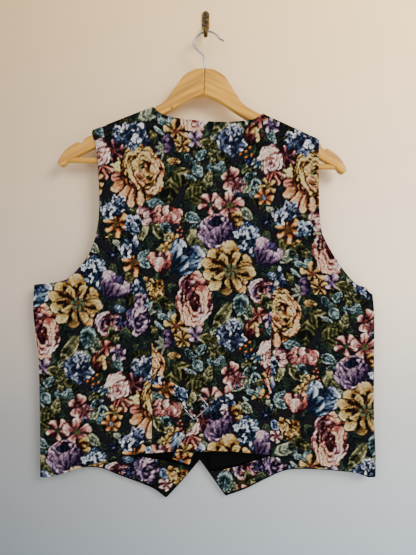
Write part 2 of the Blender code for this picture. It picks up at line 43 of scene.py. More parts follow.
# The place. A phone held level, 0.65 m from the wall, looks straight at the waistcoat's back. The wall is
# pale plaster with painted light: warm and bright at the top, cooler and darker lower down, dimmer at the
# left;
# seen from behind it is clear, so that the fronts show. The floor is pale too.
CAMERA_PLACE = (0.0037, -0.646, -0.4124)
LENS, SENSOR = 26.0, 36.0
FLOOR_LEVEL = -1.35
ROOM_COLOUR, ROOM_STRENGTH = (0.90, 0.93, 1.0, 1), 0.92
LAMPS = (  # place, what it points at, side, power, colour
    ((1.3, -1.5, 0.55), (0.1, 0, -0.3), 0.9, 72, (1.0, 0.96, 0.91)),
    ((-0.9, -1.4, 0.3), (0, 0, -0.4), 1.2, 20, (1.0, 0.93, 0.85)),
    ((0.5, -0.9, -1.2), (0, 0, -0.7), 0.8, 6, (0.85, 0.92, 1.0)),
    ((0.4, 1.4, 0.2), (0, 0, -0.4), 1.2, 34, (1.0, 0.98, 0.95)),
)
WALL_BOTTOM, WALL_TOP, WALL_SIDE = -0.9, 0.1, 0.32
WALL_PAINTED_LIGHT = [  # share of the way up, colour: painted light, warm at the top, and painted shade lower down
    (0.0, (0.27, 0.34, 0.39)),
    (0.26, (0.44, 0.44, 0.42)),
    (0.46, (0.78, 0.66, 0.50)),
    (1.0, (0.98, 0.66, 0.30)),
]
WALL_PAINTED_SHADE = (0.46, 0.45, 0.46, 1)  # painted shade at the left, against white at the right
WALL_Y, WALL_REACH, WALL_HEAD, FLOOR_REACH = 0.0004, 2.5, 1.5, 3

scene = bpy.context.scene
camera = bpy.data.objects.new("camera", bpy.data.cameras.new("camera"))
camera.data.lens, camera.data.sensor_width = LENS, SENSOR
camera.location = CAMERA_PLACE
camera.rotation_euler = (math.pi / 2, 0, 0)
scene.collection.objects.link(camera)
scene.camera = camera

for number, (place, target, side, power, colour) in enumerate(LAMPS):
    lamp = bpy.data.objects.new(f"lamp_{number}", bpy.data.lights.new(f"lamp_{number}", "AREA"))
    lamp.data.size, lamp.data.energy, lamp.data.color = side, power, colour
    lamp.location = place
    lamp.rotation_euler = (Vector(target) - Vector(place)).to_track_quat("-Z", "Y").to_euler()
    scene.collection.objects.link(lamp)
scene.world = bpy.data.worlds.new("room")
scene.world.use_nodes = True
room = scene.world.node_tree.nodes["Background"]
room.inputs["Color"].default_value = ROOM_COLOUR
room.inputs["Strength"].default_value = ROOM_STRENGTH


class Value:
    """A socket that takes part in arithmetic: each operator adds the Math node that works it out."""

    def __init__(self, finish, socket):
        self.finish, self.socket = finish, socket

    def maths(self, operation, *others):
        return self.finish.node("ShaderNodeMath", {"operation": operation}, [self, *others])

    def __add__(self, other):
        return self.maths("ADD", other)

    def __mul__(self, other):
        return self.maths("MULTIPLY", other)

    def __sub__(self, other):
        return self.maths("SUBTRACT", other)

    def __rsub__(self, other):
        return self.finish.node("ShaderNodeMath", {"operation": "SUBTRACT"}, [other, self])

    __radd__, __rmul__ = __add__, __mul__


class Finish:
    """A material in the making, with a Principled shader."""

    def __init__(self, name, **constants):
        self.material = bpy.data.materials.new(name)
        self.material.use_nodes = True
        self.tree = self.material.node_tree
        self.shader = self.tree.nodes["Principled BSDF"]
        for socket, value in constants.items():
            self.shader.inputs[socket.replace("_", " ")].default_value = value

    def node(self, kind, settings=None, inputs=(), output=0):
        """Adds a node with these settings and socket values, by name or in order. Stops: place, colour."""
        made = self.tree.nodes.new(kind)
        for name, value in (settings or {}).items():
            if name == "stops":
                while len(made.color_ramp.elements) < len(value):
                    made.color_ramp.elements.new(0.5)
                for stop, (at, colour) in zip(made.color_ramp.elements, value):
                    stop.position, stop.color = at, (*colour, 1)
            else:
                setattr(made, name, value)
        for name, value in inputs.items() if isinstance(inputs, dict) else enumerate(inputs):
            if isinstance(value, Value):
                self.tree.links.new(value.socket, made.inputs[name])
            else:
                made.inputs[name].default_value = value
        return Value(self, made.outputs[output])

    def mix(self, factor, first, second, blend="MIX"):
        """A blend of two colours."""
        settings = {"data_type": "RGBA", "blend_type": blend}
        return self.node("ShaderNodeMix", settings, {0: factor, 6: first, 7: second}, 2)

    def noise(self, place, scale, detail=2.0, stretch=(1, 1, 1)):
        """Noise over a place that is stretched first."""
        stretched = self.node("ShaderNodeMapping", None, {"Vector": place, "Scale": stretch})
        return self.node("ShaderNodeTexNoise", None, {"Vector": stretched, "Scale": scale, "Detail": detail})

    def place(self):
        """Where each point lies in its object, in metres."""
        return self.node("ShaderNodeTexCoord", output=3)

    def ranged(self, value, low, high, first=0.0, last=1.0):
        """A value's way from low to high, as the way from first to last."""
        return self.node("ShaderNodeMapRange", None, {0: value, 1: low, 2: high, 3: first, 4: last})

    def feed(self, socket, value):
        self.tree.links.new(value.socket, self.shader.inputs[socket])

    def bump(self, height, distance, strength):
        inputs = {"Height": height, "Distance": distance, "Strength": strength}
        self.feed("Normal", self.node("ShaderNodeBump", None, inputs))


def add(name, points, faces, finish):
    """A smooth-shaded object of points in metres and faces: an array of quads, or a list of polygons."""
    mesh = bpy.data.meshes.new(name)
    if isinstance(faces, np.ndarray):
        mesh.vertices.add(len(points))
        mesh.vertices.foreach_set("co", np.asarray(points, np.float32).ravel())
        mesh.loops.add(faces.size)
        mesh.loops.foreach_set("vertex_index", faces.astype(np.int32).ravel())
        mesh.polygons.add(len(faces))
        mesh.polygons.foreach_set("loop_start", np.arange(0, faces.size, 4, dtype=np.int32))
        mesh.update(calc_edges=True)
    else:
        mesh.from_pydata([tuple(p) for p in points], [], faces)
    mesh.shade_smooth()
    made = bpy.data.objects.new(name, mesh)
    mesh.materials.append(finish.material)
    scene.collection.objects.link(made)
    return made


plaster = Finish("plaster", Roughness=0.9)
where = plaster.place()
height = plaster.node("ShaderNodeSeparateXYZ", None, [where], 2)
side_way = plaster.node("ShaderNodeSeparateXYZ", None, [where], 0)
# The wall's colour carries painted light and shade: it darkens and cools towards the bottom and dims towards
# the left.
fall = plaster.ranged(height, WALL_BOTTOM, WALL_TOP)
lit = plaster.ranged(side_way, -WALL_SIDE, WALL_SIDE)
shade = plaster.node("ShaderNodeValToRGB", {"stops": WALL_PAINTED_LIGHT}, [fall])
dim = plaster.mix(lit, WALL_PAINTED_SHADE, (1.0, 1.0, 1.0, 1))
plaster.feed("Base Color", plaster.mix(1.0, shade, dim, "MULTIPLY"))
plaster.bump(plaster.noise(where, 90.0, 4.0), 0.0006, 0.4)
behind = plaster.node("ShaderNodeNewGeometry", output=6)
clear = plaster.node("ShaderNodeBsdfTransparent")
seen = plaster.node("ShaderNodeMixShader", None, [behind, Value(plaster, plaster.shader.outputs[0]), clear])
plaster.tree.links.new(seen.socket, plaster.tree.nodes["Material Output"].inputs["Surface"])
SQUARE = ((-1, 0), (1, 0), (1, 1), (-1, 1))  # its corners: left or right, and low or high
levels = (FLOOR_LEVEL, WALL_HEAD)
wall = add("wall", [(WALL_REACH * a, WALL_Y, levels[b]) for a, b in SQUARE], [(0, 1, 2, 3)], plaster)
wall.visible_shadow = wall.visible_diffuse = False
pale = Finish("pale_floor", Base_Color=(0.62, 0.60, 0.57, 1), Roughness=0.8)
corners = [(FLOOR_REACH * a, FLOOR_REACH * (2 * b - 1), FLOOR_LEVEL) for a, b in SQUARE]
floor = add("floor", corners, [(0, 1, 2, 3)], pale)

# The wall hook. A small cast brass coat hook, gone brown with age: an oval plate that is held by two dark
# screws, and one round arm that drops from it and turns up at its tip. It is brighter where things rub it.
PLATE_HALF_WIDTH, PLATE_HALF_HEIGHT, PLATE_DEPTH, PLATE_EDGE = 5.8, 16.0, 2.5, 0.9
ARM_RADIUS = 3.3
ARM = [  # y, z
    (-3.6, -9.2), (-6.0, -11.0), (-9, -15.5), (-12.5, -25),
    (-16.5, -31.9), (-22, -34.8), (-27.5, -32.8), (-30.8, -28.1),
]
SCREWS = (("screw_top", 9.6), ("screw_low", -1.6))  # name, z
SCREW_HEAD = np.array([(2.3, 0), (2.3, 0.25), (1.9, 0.7), (1.1, 1.0), (0.01, 1.1)])  # radius, height
BAR_SIDES, WIRE_SIDES, SCREW_SIDES, ARM_STEPS, EDGE_ROWS = 24, 16, 20, 60, 6


def quads(rows, columns, wrap=False):
    """The faces of a grid of points, row by row, with its last column joined to its first where it wraps."""
    i, j = np.meshgrid(np.arange(rows - 1), np.arange(columns if wrap else columns - 1), indexing="ij")
    k = (j + 1) % columns
    corners = [i * columns + j, i * columns + k, (i + 1) * columns + k, (i + 1) * columns + j]
    return np.stack(corners, -1).reshape(-1, 4)


def circle(sides):
    """The angles of equal steps round a circle."""
    return np.linspace(0, 2 * np.pi, sides, endpoint=False)


def capped(rows, columns):
    """The faces of rings of points, closed at either end by one polygon."""
    faces = [list(f) for f in quads(rows, columns, wrap=True)]
    return faces + [list(range(columns))[::-1], list(range((rows - 1) * columns, rows * columns))]


def bend(t, p0, p1, p2, p3):
    """A Catmull-Rom curve from p1 to p2, where t runs from 0 to 1."""
    square, cube = 2 * p0 - 5 * p1 + 4 * p2 - p3, 3 * p1 - p0 - 3 * p2 + p3
    return 0.5 * (2 * p1 + (p2 - p0) * t + square * t**2 + cube * t**3)


def smooth(points, shares):
    """Points at these shares of the length of a Catmull-Rom curve through the given ones."""
    points = np.asarray(points, float)
    if len(points) == 2:
        return points[0] + np.outer(shares, points[1] - points[0])
    ends = np.vstack([2 * points[0] - points[1], points, 2 * points[-1] - points[-2]])
    t = np.arange(0, 1, 0.02)[:, None]
    fine = np.vstack([*[bend(t, *four) for four in zip(ends, ends[1:], ends[2:], ends[3:])], points[-1:]])
    length = np.r_[0, np.cumsum(np.linalg.norm(np.diff(fine, axis=0), axis=1))]
    at = np.asarray(shares) * length[-1]
    return np.stack([np.interp(at, length, fine[:, k]) for k in range(fine.shape[1])], axis=1)


def even(points, cells):
    """Points of the curve at equal steps."""
    return smooth(points, np.linspace(0, 1, cells + 1))


def tube(path, radius, sides, ends=1.0):
    """A round bar along a path in a plane: a ring of points on each of its places, and rounded ends, whose
    rings shrink as the cosine of their angle. Each ring's frame is the last one's, laid square to the path:
    the share of it along the plane's normal, the way of the path's least spread, stays, and the share in
    the plane shrinks by the cosine of each turn."""
    path = np.asarray(path, float)
    ahead = np.gradient(path, axis=0)
    ahead /= np.linalg.norm(ahead, axis=1, keepdims=True)
    bulge = np.radians([88, 66, 44, 22])
    first = [path[0] - ahead[0] * radius * ends * np.sin(a) for a in bulge]
    last = [path[-1] + ahead[-1] * radius * ends * np.sin(a) for a in bulge[::-1]]
    radii = radius * np.r_[np.cos(bulge), np.ones(len(path)), np.cos(bulge[::-1])]
    path = np.vstack([first, path, last])
    ahead = np.vstack([[ahead[0]] * 4, ahead, [ahead[-1]] * 4])
    normal = np.linalg.svd(path - path.mean(axis=0))[2][-1]
    beside = np.cross(normal, ahead)
    start = np.cross(ahead[0], (0.3, 1.0, 0.2))
    start /= np.linalg.norm(start)
    in_plane = (start @ beside[0]) * np.cumprod(np.r_[1, np.sum(ahead[1:] * ahead[:-1], axis=1)])
    across = (start @ normal) * normal + in_plane[:, None] * beside
    across /= np.linalg.norm(across, axis=1, keepdims=True)
    up = np.cross(ahead, across)
    turn = circle(sides)[None, :, None]
    spokes = across[:, None] * np.cos(turn) + up[:, None] * np.sin(turn)
    rings = path[:, None] + radii[:, None, None] * spokes
    return rings.reshape(-1, 3), capped(len(path), sides)


def slab(outline, middle_y, half_depth, edge):
    """A flat plate in x, z with rounded edges: the outline is drawn in along its normals by a circle's arc
    as it nears either face, and each face is one polygon."""
    outline = np.asarray(outline, float)
    along = np.roll(outline, -1, axis=0) - np.roll(outline, 1, axis=0)
    along /= np.linalg.norm(along, axis=1, keepdims=True)
    inward = np.stack([-along[:, 1], along[:, 0]], axis=1)
    turns = np.radians(np.linspace(0, 90, EDGE_ROWS))
    depth = np.r_[-half_depth + edge * (1 - np.sin(turns[::-1])), half_depth - edge * (1 - np.sin(turns))]
    draw_in = edge * (1 - np.cos(np.r_[turns[::-1], turns]))
    rings = outline[None] + inward[None] * draw_in[:, None, None]
    y = np.broadcast_to(middle_y + depth[:, None], rings.shape[:2])
    points = np.stack([rings[..., 0], y, rings[..., 1]], -1)
    return points.reshape(-1, 3), capped(len(depth), len(outline))


def piece(name, made, finish, slot, *nodes, sharp=None):
    """A piece in millimetres that rides on the body and stands for these solids; sharp is in degrees."""
    points, faces = made
    item = add(name, np.asarray(points) * 0.001, faces, finish)
    if sharp is not None:
        item.data.set_sharp_from_angle(angle=math.radians(sharp))
    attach(item, "root")
    if nodes:
        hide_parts(*nodes)
    return item


brass = Finish("aged_brass", Metallic=0.85)
where = brass.place()
stains = brass.noise(where, 260.0, 5.0)
worn = brass.ranged(stains, 0.4, 0.62)
brass.feed("Base Color", brass.mix(worn, (0.012, 0.008, 0.005, 1), (0.17, 0.10, 0.026, 1)))
brass.feed("Roughness", 0.62 - worn * 0.3)
brass.bump(brass.noise(where, 900.0, 3.0), 0.0004, 0.5)

turns = np.radians(np.linspace(0, 180, 17))
top_half = np.stack([np.cos(turns), np.sin(turns)], 1) * PLATE_HALF_WIDTH
top_half += [0, PLATE_HALF_HEIGHT - PLATE_HALF_WIDTH]
plate = slab(np.vstack([top_half, -top_half]), -PLATE_DEPTH / 2, PLATE_DEPTH / 2, PLATE_EDGE)
piece("hook_plate", plate, brass, "brass", "wall_hook")
route = even([(0, y, z) for y, z in ARM], ARM_STEPS)
piece("hook_arm", tube(route, ARM_RADIUS, BAR_SIDES), brass, "brass", "wall_hook")
steel = Finish("dark_screw", Base_Color=(0.03, 0.026, 0.022, 1), Roughness=0.45, Metallic=0.9)
for name, z in SCREWS:
    around = circle(SCREW_SIDES)
    x = SCREW_HEAD[:, :1] * np.cos(around)
    y = np.broadcast_to(-PLATE_DEPTH - SCREW_HEAD[:, 1:], x.shape)
    points = np.stack([x, y, z + SCREW_HEAD[:, :1] * np.sin(around)], -1).reshape(-1, 3)
    piece(name, (points, capped(len(SCREW_HEAD), len(around))), steel, "brass")

# The hanger. Two arms of pale varnished beech are glued at the middle, notched near their tips, and joined
# by a dowel. A bright wire hook is screwed into the glued joint. It hangs a little lower on its right.
TILT = math.radians(1.5)
PIVOT_Z = -30.0
HANGER_Y, HANGER_HALF_DEPTH, HANGER_EDGE = -22.0, 6.0, 2.2
HANGER_TOP = [  # x, z, as in the outlines that follow
    (0.15, -89), (9, -89.4), (18, -92), (31, -100), (40, -112), (49, -126), (60, -141), (74, -150.7),
]
HANGER_NOTCH = [(182, -201.5), (184.5, -206.3), (187.2, -209.3), (189.8, -209.3), (192.5, -207.5)]
HANGER_TIP = [
    (192.5, -207.5), (200, -211.5), (210, -219), (217, -227.5),
    (222, -236), (223, -242), (218, -246), (212, -243.5),
]
HANGER_UNDER = [
    (212, -243.5), (207, -237), (193, -229.5), (173, -219),
    (120, -192), (61, -161.5), (22, -138), (0.15, -130),
]
KNOT_PLACE = (-0.052, -0.028, -0.1505)
BAR_RADIUS, BAR_Z, BAR_HALF = 4.3, -235.0, 213.0
WIRE_RADIUS = 1.4
TOP_STEPS, NOTCH_STEPS, TIP_STEPS, UNDER_STEPS, DOWEL_STEPS, WIRE_STEPS = 40, 12, 36, 60, 40, 160
WIRE = [
    (0, -100), (0, -89), (-2.2, -69), (-10, -60.5), (-16.6, -54), (-18.7, -48.4), (-16.7, -43.6),
    (-11, -36), (-4.5, -31.2), (3, -29.3), (10.5, -30.6), (16.8, -34.4), (21.2, -39.4), (28.3, -43.5),
]


def tilted(points):
    """Turns points of x, y, z about the place where the wire rests on the wall hook."""
    x, y, z = np.asarray(points, float).T
    z = z - PIVOT_Z
    c, s = math.cos(TILT), math.sin(TILT)
    return np.stack([x * c + z * s, y, PIVOT_Z - x * s + z * c], 1)


def beech(name, slope):
    """Varnished wood whose grain runs along one arm, with darker streaks, fine pores and a small knot."""
    made = Finish(name, Coat_Weight=0.08, Coat_Roughness=0.25, Specular_IOR_Level=0.12)
    place = made.place()
    grain_way = made.node("ShaderNodeMapping", None, {"Vector": place, "Rotation": (0, slope, 0)})
    streaks = made.noise(grain_way, 95.0, 4.0, (0.10, 1.0, 1.6))
    pores = made.noise(grain_way, 520.0, 3.0, (0.05, 1.0, 1.0))
    body = made.ranged(streaks, 0.36, 0.64)
    colour = made.mix(body, (0.27, 0.128, 0.018, 1), (0.52, 0.262, 0.032, 1))
    colour = made.mix(pores * 0.3, colour, (0.16, 0.070, 0.012, 1))
    from_knot = made.node("ShaderNodeVectorMath", {"operation": "DISTANCE"}, [place, KNOT_PLACE], 1)
    ragged = from_knot + pores * 0.002
    knot = made.ranged(ragged, 0.0016, 0.0042, 0.75, 0.0)
    made.feed("Base Color", made.mix(knot, colour, (0.05, 0.018, 0.006, 1)))
    made.feed("Roughness", 0.34 + pores * 0.2)
    made.bump(pores, 0.0002, 0.35)
    return made


notch, tip = even(HANGER_NOTCH, NOTCH_STEPS)[:-1], even(HANGER_TIP, TIP_STEPS)[:-1]
arm = np.vstack([even(HANGER_TOP, TOP_STEPS), notch, tip, even(HANGER_UNDER, UNDER_STEPS)])
for side, sign in (("left", -1), ("right", 1)):
    outline = arm * [sign, 1]
    points, faces = slab(outline if sign < 0 else outline[::-1], HANGER_Y, HANGER_HALF_DEPTH, HANGER_EDGE)
    wood = beech(f"beech_{side}", math.radians(-27 * sign))
    piece(f"arm_{side}", (tilted(points), faces), wood, "wood", f"hanger_arm_{side}", sharp=50)
route = even([(-BAR_HALF, HANGER_Y, BAR_Z), (BAR_HALF, HANGER_Y, BAR_Z)], DOWEL_STEPS)
points, faces = tube(route, BAR_RADIUS, BAR_SIDES, ends=0.2)
piece("trouser_bar", (tilted(points), faces), beech("beech_bar", 0.0), "wood", "hanger_bar")
chrome = Finish("bright_wire", Base_Color=(0.26, 0.27, 0.29, 1), Metallic=1.0)
where = chrome.place()
chrome.feed("Roughness", 0.12 + chrome.noise(where, 400.0, 3.0) * 0.16)
route = even([(x, HANGER_Y, z) for x, z in WIRE], WIRE_STEPS)
points, faces = tube(route, WIRE_RADIUS, WIRE_SIDES, ends=0.6)
piece("wire_hook", (tilted(points), faces), chrome, "bright_metal", "hanger_hook")

# The cloth. A jacquard tapestry, woven with ribs along the weft, whose coloured yarns make flowers and
# leaves on a near-black ground. The flowers repeat every 265 mm across and 300 mm down. It is lined with
# black satin.
satin = Finish("black_satin", Base_Color=(0.0016, 0.0016, 0.0020, 1), Specular_IOR_Level=0.015)
where = satin.place()
satin.feed("Roughness", 0.45 + satin.noise(where, 1500.0, 2.0, (1, 1, 0.1)) * 0.12)
satin.bump(satin.noise(where, 60.0, 3.0), 0.0015, 0.4)

tapestry = Finish("tapestry", Specular_IOR_Level=0.01)
where = tapestry.place()
yarns = tapestry.node("ShaderNodeAttribute", {"attribute_name": "pattern"})
threads = tapestry.noise(where, 1300.0, 2.0, (0.55, 1, 1))
slubs = tapestry.noise(where, 480.0, 2.0, (0.5, 1, 1))
shade = threads * 0.6 + slubs * 1.5 - 0.05
thread_colour = tapestry.node("ShaderNodeCombineColor", None, [shade, shade, shade])
tapestry.feed("Base Color", tapestry.mix(1.0, yarns, thread_colour, "MULTIPLY"))
tapestry.feed("Roughness", 0.82 + threads * 0.12)
rib_shape = {"Vector": where, "Scale": 145.0, "Distortion": 1.2, "Detail Scale": 3.0}
ribs = tapestry.node("ShaderNodeTexWave", {"bands_direction": "Z"}, rib_shape)
tapestry.bump(ribs * 0.4 + threads, 0.0005, 0.7)

REPEAT_WIDTH, REPEAT_HEIGHT = 265.0, 300.0
REPEAT_FALL = 0.034  # of each millimetre to the right
CELL = 0.75
CHART_ROWS, CHART_COLUMNS = int(REPEAT_HEIGHT / CELL), int(round(REPEAT_WIDTH / CELL))
DYE_DEPTH, DYE_HUE, DYE_FALL = 0.40, -0.04, 0.04
TONE_FALL, FLECK = 1.25, 0.06
BRISTLES, BRISTLE_LONG, BRISTLE_WIDE = 256, 6.5, 1.7
BRISTLE_STARTS = (37.7, 91.3)  # how far a unit of a stroke's start moves it over the noise
GOLDEN_ANGLE = 2.39996
PETAL_OUTLINE, LEAF_OUTLINE, OUTLINE_GAPS = 1.1, 1.0, 0.9  # gaps: where the grain is above this
LEAF_STREAK = 0.11
YARN = {  # each from dark to light
    "ground": "1a191e 1f1e23 242328 29282e",
    "green": "141a1b 1e2924 2a3a30 404e37 686c4a",
    "olive": "13150e 272b19 47492a 68643a 9d9464",
    "sage": "171d1b 333f36 5a6653 8a9478 bcbfa2",
    "teal": "161f22 26393c 4a6365 7c9594 b2c0b9",
    "lime": "191b13 363a25 5f6040 8f8c60 bfb68c",
    "navy": "101220 1b2238 2c3a5c 465e8a 98a8c6",
    "blue": "121a2c 24344c 435a76 7d90a8 c6ced8",
    "lavender": "181d30 303c58 5c6a88 9ca4ba dcdae0",
    "mauve": "1e172c 493656 7a5c7c a8889e d6bcc4",
    "purple": "191628 362d54 5c4a78 8a6e94 b89cb4",
    "dusty": "28121a 673340 a0646a c99694 e8ccc0",
    "pink": "30161b 7d3c42 b67068 d8a494 efd6c4",
    "coral": "2c1213 68292a a4534a c98470 e8ba9c",
    "maroon": "190c10 3a171b 602a2a 8c463e bf886e",
    "peach": "2c1612 743a24 b47048 d29868 e4bc8e",
    "cream": "241710 603c22 a07c44 c8a868 decb92",
    "gold": "2a1810 64391d 9a7036 c09a58 dabc80",
    "orange": "28150d 7a3c20 ae6432 cc8c50 e2b87c",
    "brown": "17100b 352313 563a20 78582e a2804c",
}


def dyed(text):
    """The yarn of a colour, as linear light: under half as light as it looks in this bright room, a little
    darker still in its dark tones, and a little weaker in hue."""
    s = np.array([int(text[k : k + 2], 16) for k in (0, 2, 4)]) / 255
    light = np.where(s > 0.04045, ((s + 0.055) / 1.055) ** 2.4, s / 12.92)
    brightness = light @ [0.2126, 0.7152, 0.0722]
    return DYE_DEPTH * light * (light / brightness) ** DYE_HUE * brightness**DYE_FALL


def patches(rows, columns, size, seed):
    """Noise that is smooth over this many cells and repeats at its edges, about 1 high: white noise, whose
    high frequencies are damped by a Gaussian."""
    white = np.fft.fft2(np.random.default_rng(seed).standard_normal((rows, columns)))
    down, over = np.fft.fftfreq(rows)[:, None], np.fft.fftfreq(columns)[None]
    made = np.fft.ifft2(white * np.exp(-2 * (np.pi * size) ** 2 * (down**2 + over**2))).real
    return made / made.std()


YARN = {name: np.array([dyed(tone) for tone in tones.split()]) for name, tones in YARN.items()}
spread = (CHART_ROWS, CHART_COLUMNS)
chart = np.zeros((*spread, 3))
wander_u = 1.0 * patches(*spread, 4.2, 1) + 0.5 * patches(*spread, 1.5, 2)
wander_v = 1.0 * patches(*spread, 4.2, 3) + 0.5 * patches(*spread, 1.5, 4)
grain = 0.6 * patches(*spread, 0.55, 5) + 0.6 * patches(*spread, 1.5, 6)
bristles = patches(BRISTLES, BRISTLES, 1.0, 7)


def between(table, i, j):
    """A repeating table's values between its cells: the mean of the four round a place, by nearness."""
    i0, j0 = np.floor(i).astype(int), np.floor(j).astype(int)
    a, b = i - i0, j - j0
    if table.ndim == 3:
        a, b = a[..., None], b[..., None]
    cell = lambda di, dj: table[(i0 + di) % table.shape[0], (j0 + dj) % table.shape[1]]
    return (1 - a) * ((1 - b) * cell(0, 0) + b * cell(0, 1)) + a * ((1 - b) * cell(1, 0) + b * cell(1, 1))


def brushed(along, side, long=BRISTLE_LONG, wide=BRISTLE_WIDE, start=0.0):
    """Streaks about 1 high that run along a direction, of this length and width in millimetres."""
    first, second = BRISTLE_STARTS
    made = between(bristles, along / long + first * start, side / wide + second * start)
    return made + 0.7 * (made > 1.1) - 1.6 * (made < -1.0)


def cells_near(u, v, reach, turn=0.0, wander=0.7):
    """The cells within reach of u, v, over the repeat's edges too, and how far each lies along a direction
    and to its side, off by the wander of a weaver's line. The turn is clockwise, because v runs down."""
    v = v - REPEAT_FALL * (u - REPEAT_WIDTH / 2)
    i = np.arange(int((v - reach) // CELL), int((v + reach) // CELL) + 1)
    j = np.arange(int((u - reach) // CELL), int((u + reach) // CELL) + 1)
    where = np.ix_(i % CHART_ROWS, j % CHART_COLUMNS)
    du, dv = np.meshgrid((j + 0.5) * CELL - u, (i + 0.5) * CELL - v)
    du, dv = du + wander * wander_u[where], dv + wander * wander_v[where]
    c, s = np.cos(np.radians(turn)), np.sin(np.radians(turn))
    return where, du * c + dv * s, dv * c - du * s


def weave(where, inside, tone, yarn):
    """Gives the cells in a shape the yarn of their tone, 0 dark to 1 light, with flecks where two meet."""
    tones = YARN[yarn]
    share = np.clip(tone, 0, 1) ** TONE_FALL + FLECK * grain[where]
    step = np.clip(share * len(tones), 0, len(tones) - 0.01).astype(int)
    chart[where] = np.where(inside[..., None], tones[step], chart[where])


def petal(u, v, turn, length, width, yarn, base=0.2, tip=0.95, curl=0.0, streak=0.17, blunt=1.0):
    """A petal from its base at u, v. Its half width is the sine of a power of the way along it; it lightens
    to its tip, darkens at its sides, and has streaks that fan from the base. A dark outline sets it off."""
    where, along, side = cells_near(u, v, length * 1.15 + 3, turn)
    for grow in (PETAL_OUTLINE, 0.0):
        p = (along + grow) / (length + 2 * grow)
        inside_p = np.clip(p, 0.001, 0.999)
        half = (width / 2 + grow) * np.sin(np.pi * inside_p ** (1.35 * blunt)) ** 0.5
        q = (side - curl * length * inside_p**2) / half
        inside = (p > 0) & (p < 1) & (np.abs(q) < 1)
        if grow:
            weave(where, inside & (grain[where] < OUTLINE_GAPS), 0.08, yarn)
            continue
        fan = brushed(along, side / (0.35 + 0.65 * inside_p), start=u + v)
        tone = base + (tip - base) * inside_p**0.9 - 0.3 * np.abs(q) ** 3
        tone = tone + streak * fan + 0.12 * (q < -0.55) * inside_p
        crease = np.abs(np.sin(np.pi * 1.4 * q + 0.5 * fan)) < 1.1 / (1.1 + half)
        tone = tone - 0.4 * crease * (inside_p < 0.8)
        weave(where, inside, tone, yarn)


def leaf(u, v, turn, length, width, yarn, base, rim=0.0, veins=5.0, vein=0.22):
    """A pointed leaf about u, v: two arcs, a midrib, and veins and streaks that slant to the tip. One half
    is darker, and the rim may be paler."""
    where, along, side = cells_near(u, v, length / 2 + 3, turn, wander=0.5)
    for grow in (LEAF_OUTLINE, 0.0):
        p = along / (length / 2 + grow)
        half = (width / 2 + grow) * np.clip(1 - p**2, 1e-4, 1) ** 0.8 * (1 - 0.25 * p)
        q = side / half
        inside = (np.abs(p) < 1) & (np.abs(q) < 1)
        if grow:
            weave(where, inside & (grain[where] < OUTLINE_GAPS), 0.05, yarn)
            continue
        over = along - 0.75 * np.abs(side)
        slant = np.cos(2 * np.pi * veins * over / length)
        rib = np.exp(-((side / 0.9) ** 2))
        fan = brushed(np.abs(side) * 1.25, over, 7.0, 1.7, u - v)
        tone = base - 0.1 * p + vein * 0.8 * (slant > 0.78) - 0.08 * (slant < -0.4)
        tone = tone + vein * rib + (rim + 0.12) * np.abs(q) ** 4
        tone = tone + LEAF_STREAK * fan - 0.12 * (q > 0)
        weave(where, inside, tone, yarn)


def rose(u, v, width, height, yarns, heart, heart_at, rings, seed, dark=0.3):
    """A cabbage rose. The rims of its petals are steps of a spiral about the heart, bent by waves round the
    circle; each petal is light at its rim and dark where it goes under the next, with streaks both ways."""
    draw = np.random.default_rng(seed)
    phases = draw.uniform(0, 2 * np.pi, 6)
    where, x, y = cells_near(u, v, max(width, height) * 0.62, wander=0.9)
    px, py = x / (width / 2), y / (height / 2)
    edge = np.hypot(px, py) + 0.05 * np.sin(7 * np.arctan2(py, px) + phases[0])
    hx, hy = px - heart_at[0] * (1.2 - edge), py - heart_at[1] * (1.2 - edge)
    r, turn = np.hypot(hx, hy), np.arctan2(hy, hx)
    lobes = 0.34 * np.sin(3 * turn + phases[1]) + 0.26 * np.sin(5 * turn + phases[2]) * r
    lobes = lobes + 0.3 * np.sin(2 * turn + 5 * r)
    spiral = rings * r**0.85 + lobes + turn / (2 * np.pi)
    step = spiral - np.floor(spiral)
    sector = (np.degrees(turn) + 405) % 360 / (360 / len(yarns))
    size = (width + height) / 4
    tangent = brushed(turn * r * size, r * size, 7.0, 1.8, seed + 0.3)
    radial = brushed(r * size, turn * r * size, 6.0, 1.7, seed + 0.7)
    crease = np.sin(2.5 * turn * (1 + np.floor(spiral)) + 2 * np.floor(spiral))
    tone = dark + 0.62 * step**0.8 - 0.16 * (r < 0.45) + 0.22 * tangent + 0.17 * radial + 0.09 * crease
    tone = np.where(step < 0.13, 0.1, tone)
    tone = np.where(edge > 0.9, tone - 0.1, tone)
    weave(where, edge < 1.06, 0.1, yarns[0])
    for k, yarn in enumerate(yarns):
        mine = (edge < 1) & (np.floor(sector + 0.35 * np.sin(4 * r * rings)) % len(yarns) == k)
        weave(where, mine, tone, yarn)
    weave(where, r < 0.2 + 0.04 * np.sin(5 * turn), 0.2 + 0.25 * tangent + 0.3 * radial, heart)


def bloom(u, v, width, height, petals, yarn, heart, turn=0.0, heart_size=0.24, tip=0.95):
    """An open flower of a few wide blunt petals, dark at their roots, round a heart with dots."""
    for k in range(petals):
        at = turn + 360 * k / petals
        reach = 0.52 * np.hypot(width * np.cos(np.radians(at)), height * np.sin(np.radians(at)))
        petal(u, v, at, reach, 2.3 * reach / petals * 1.45, yarn, base=0.05, tip=tip, blunt=1.7, streak=0.21)
    size = heart_size * min(width, height) / 2
    where, x, y = cells_near(u, v, size + 2)
    weave(where, np.hypot(x, y) < size, 0.3 + 0.4 * (np.sin(x * 2.6) * np.sin(y * 2.6) > 0.1), heart)


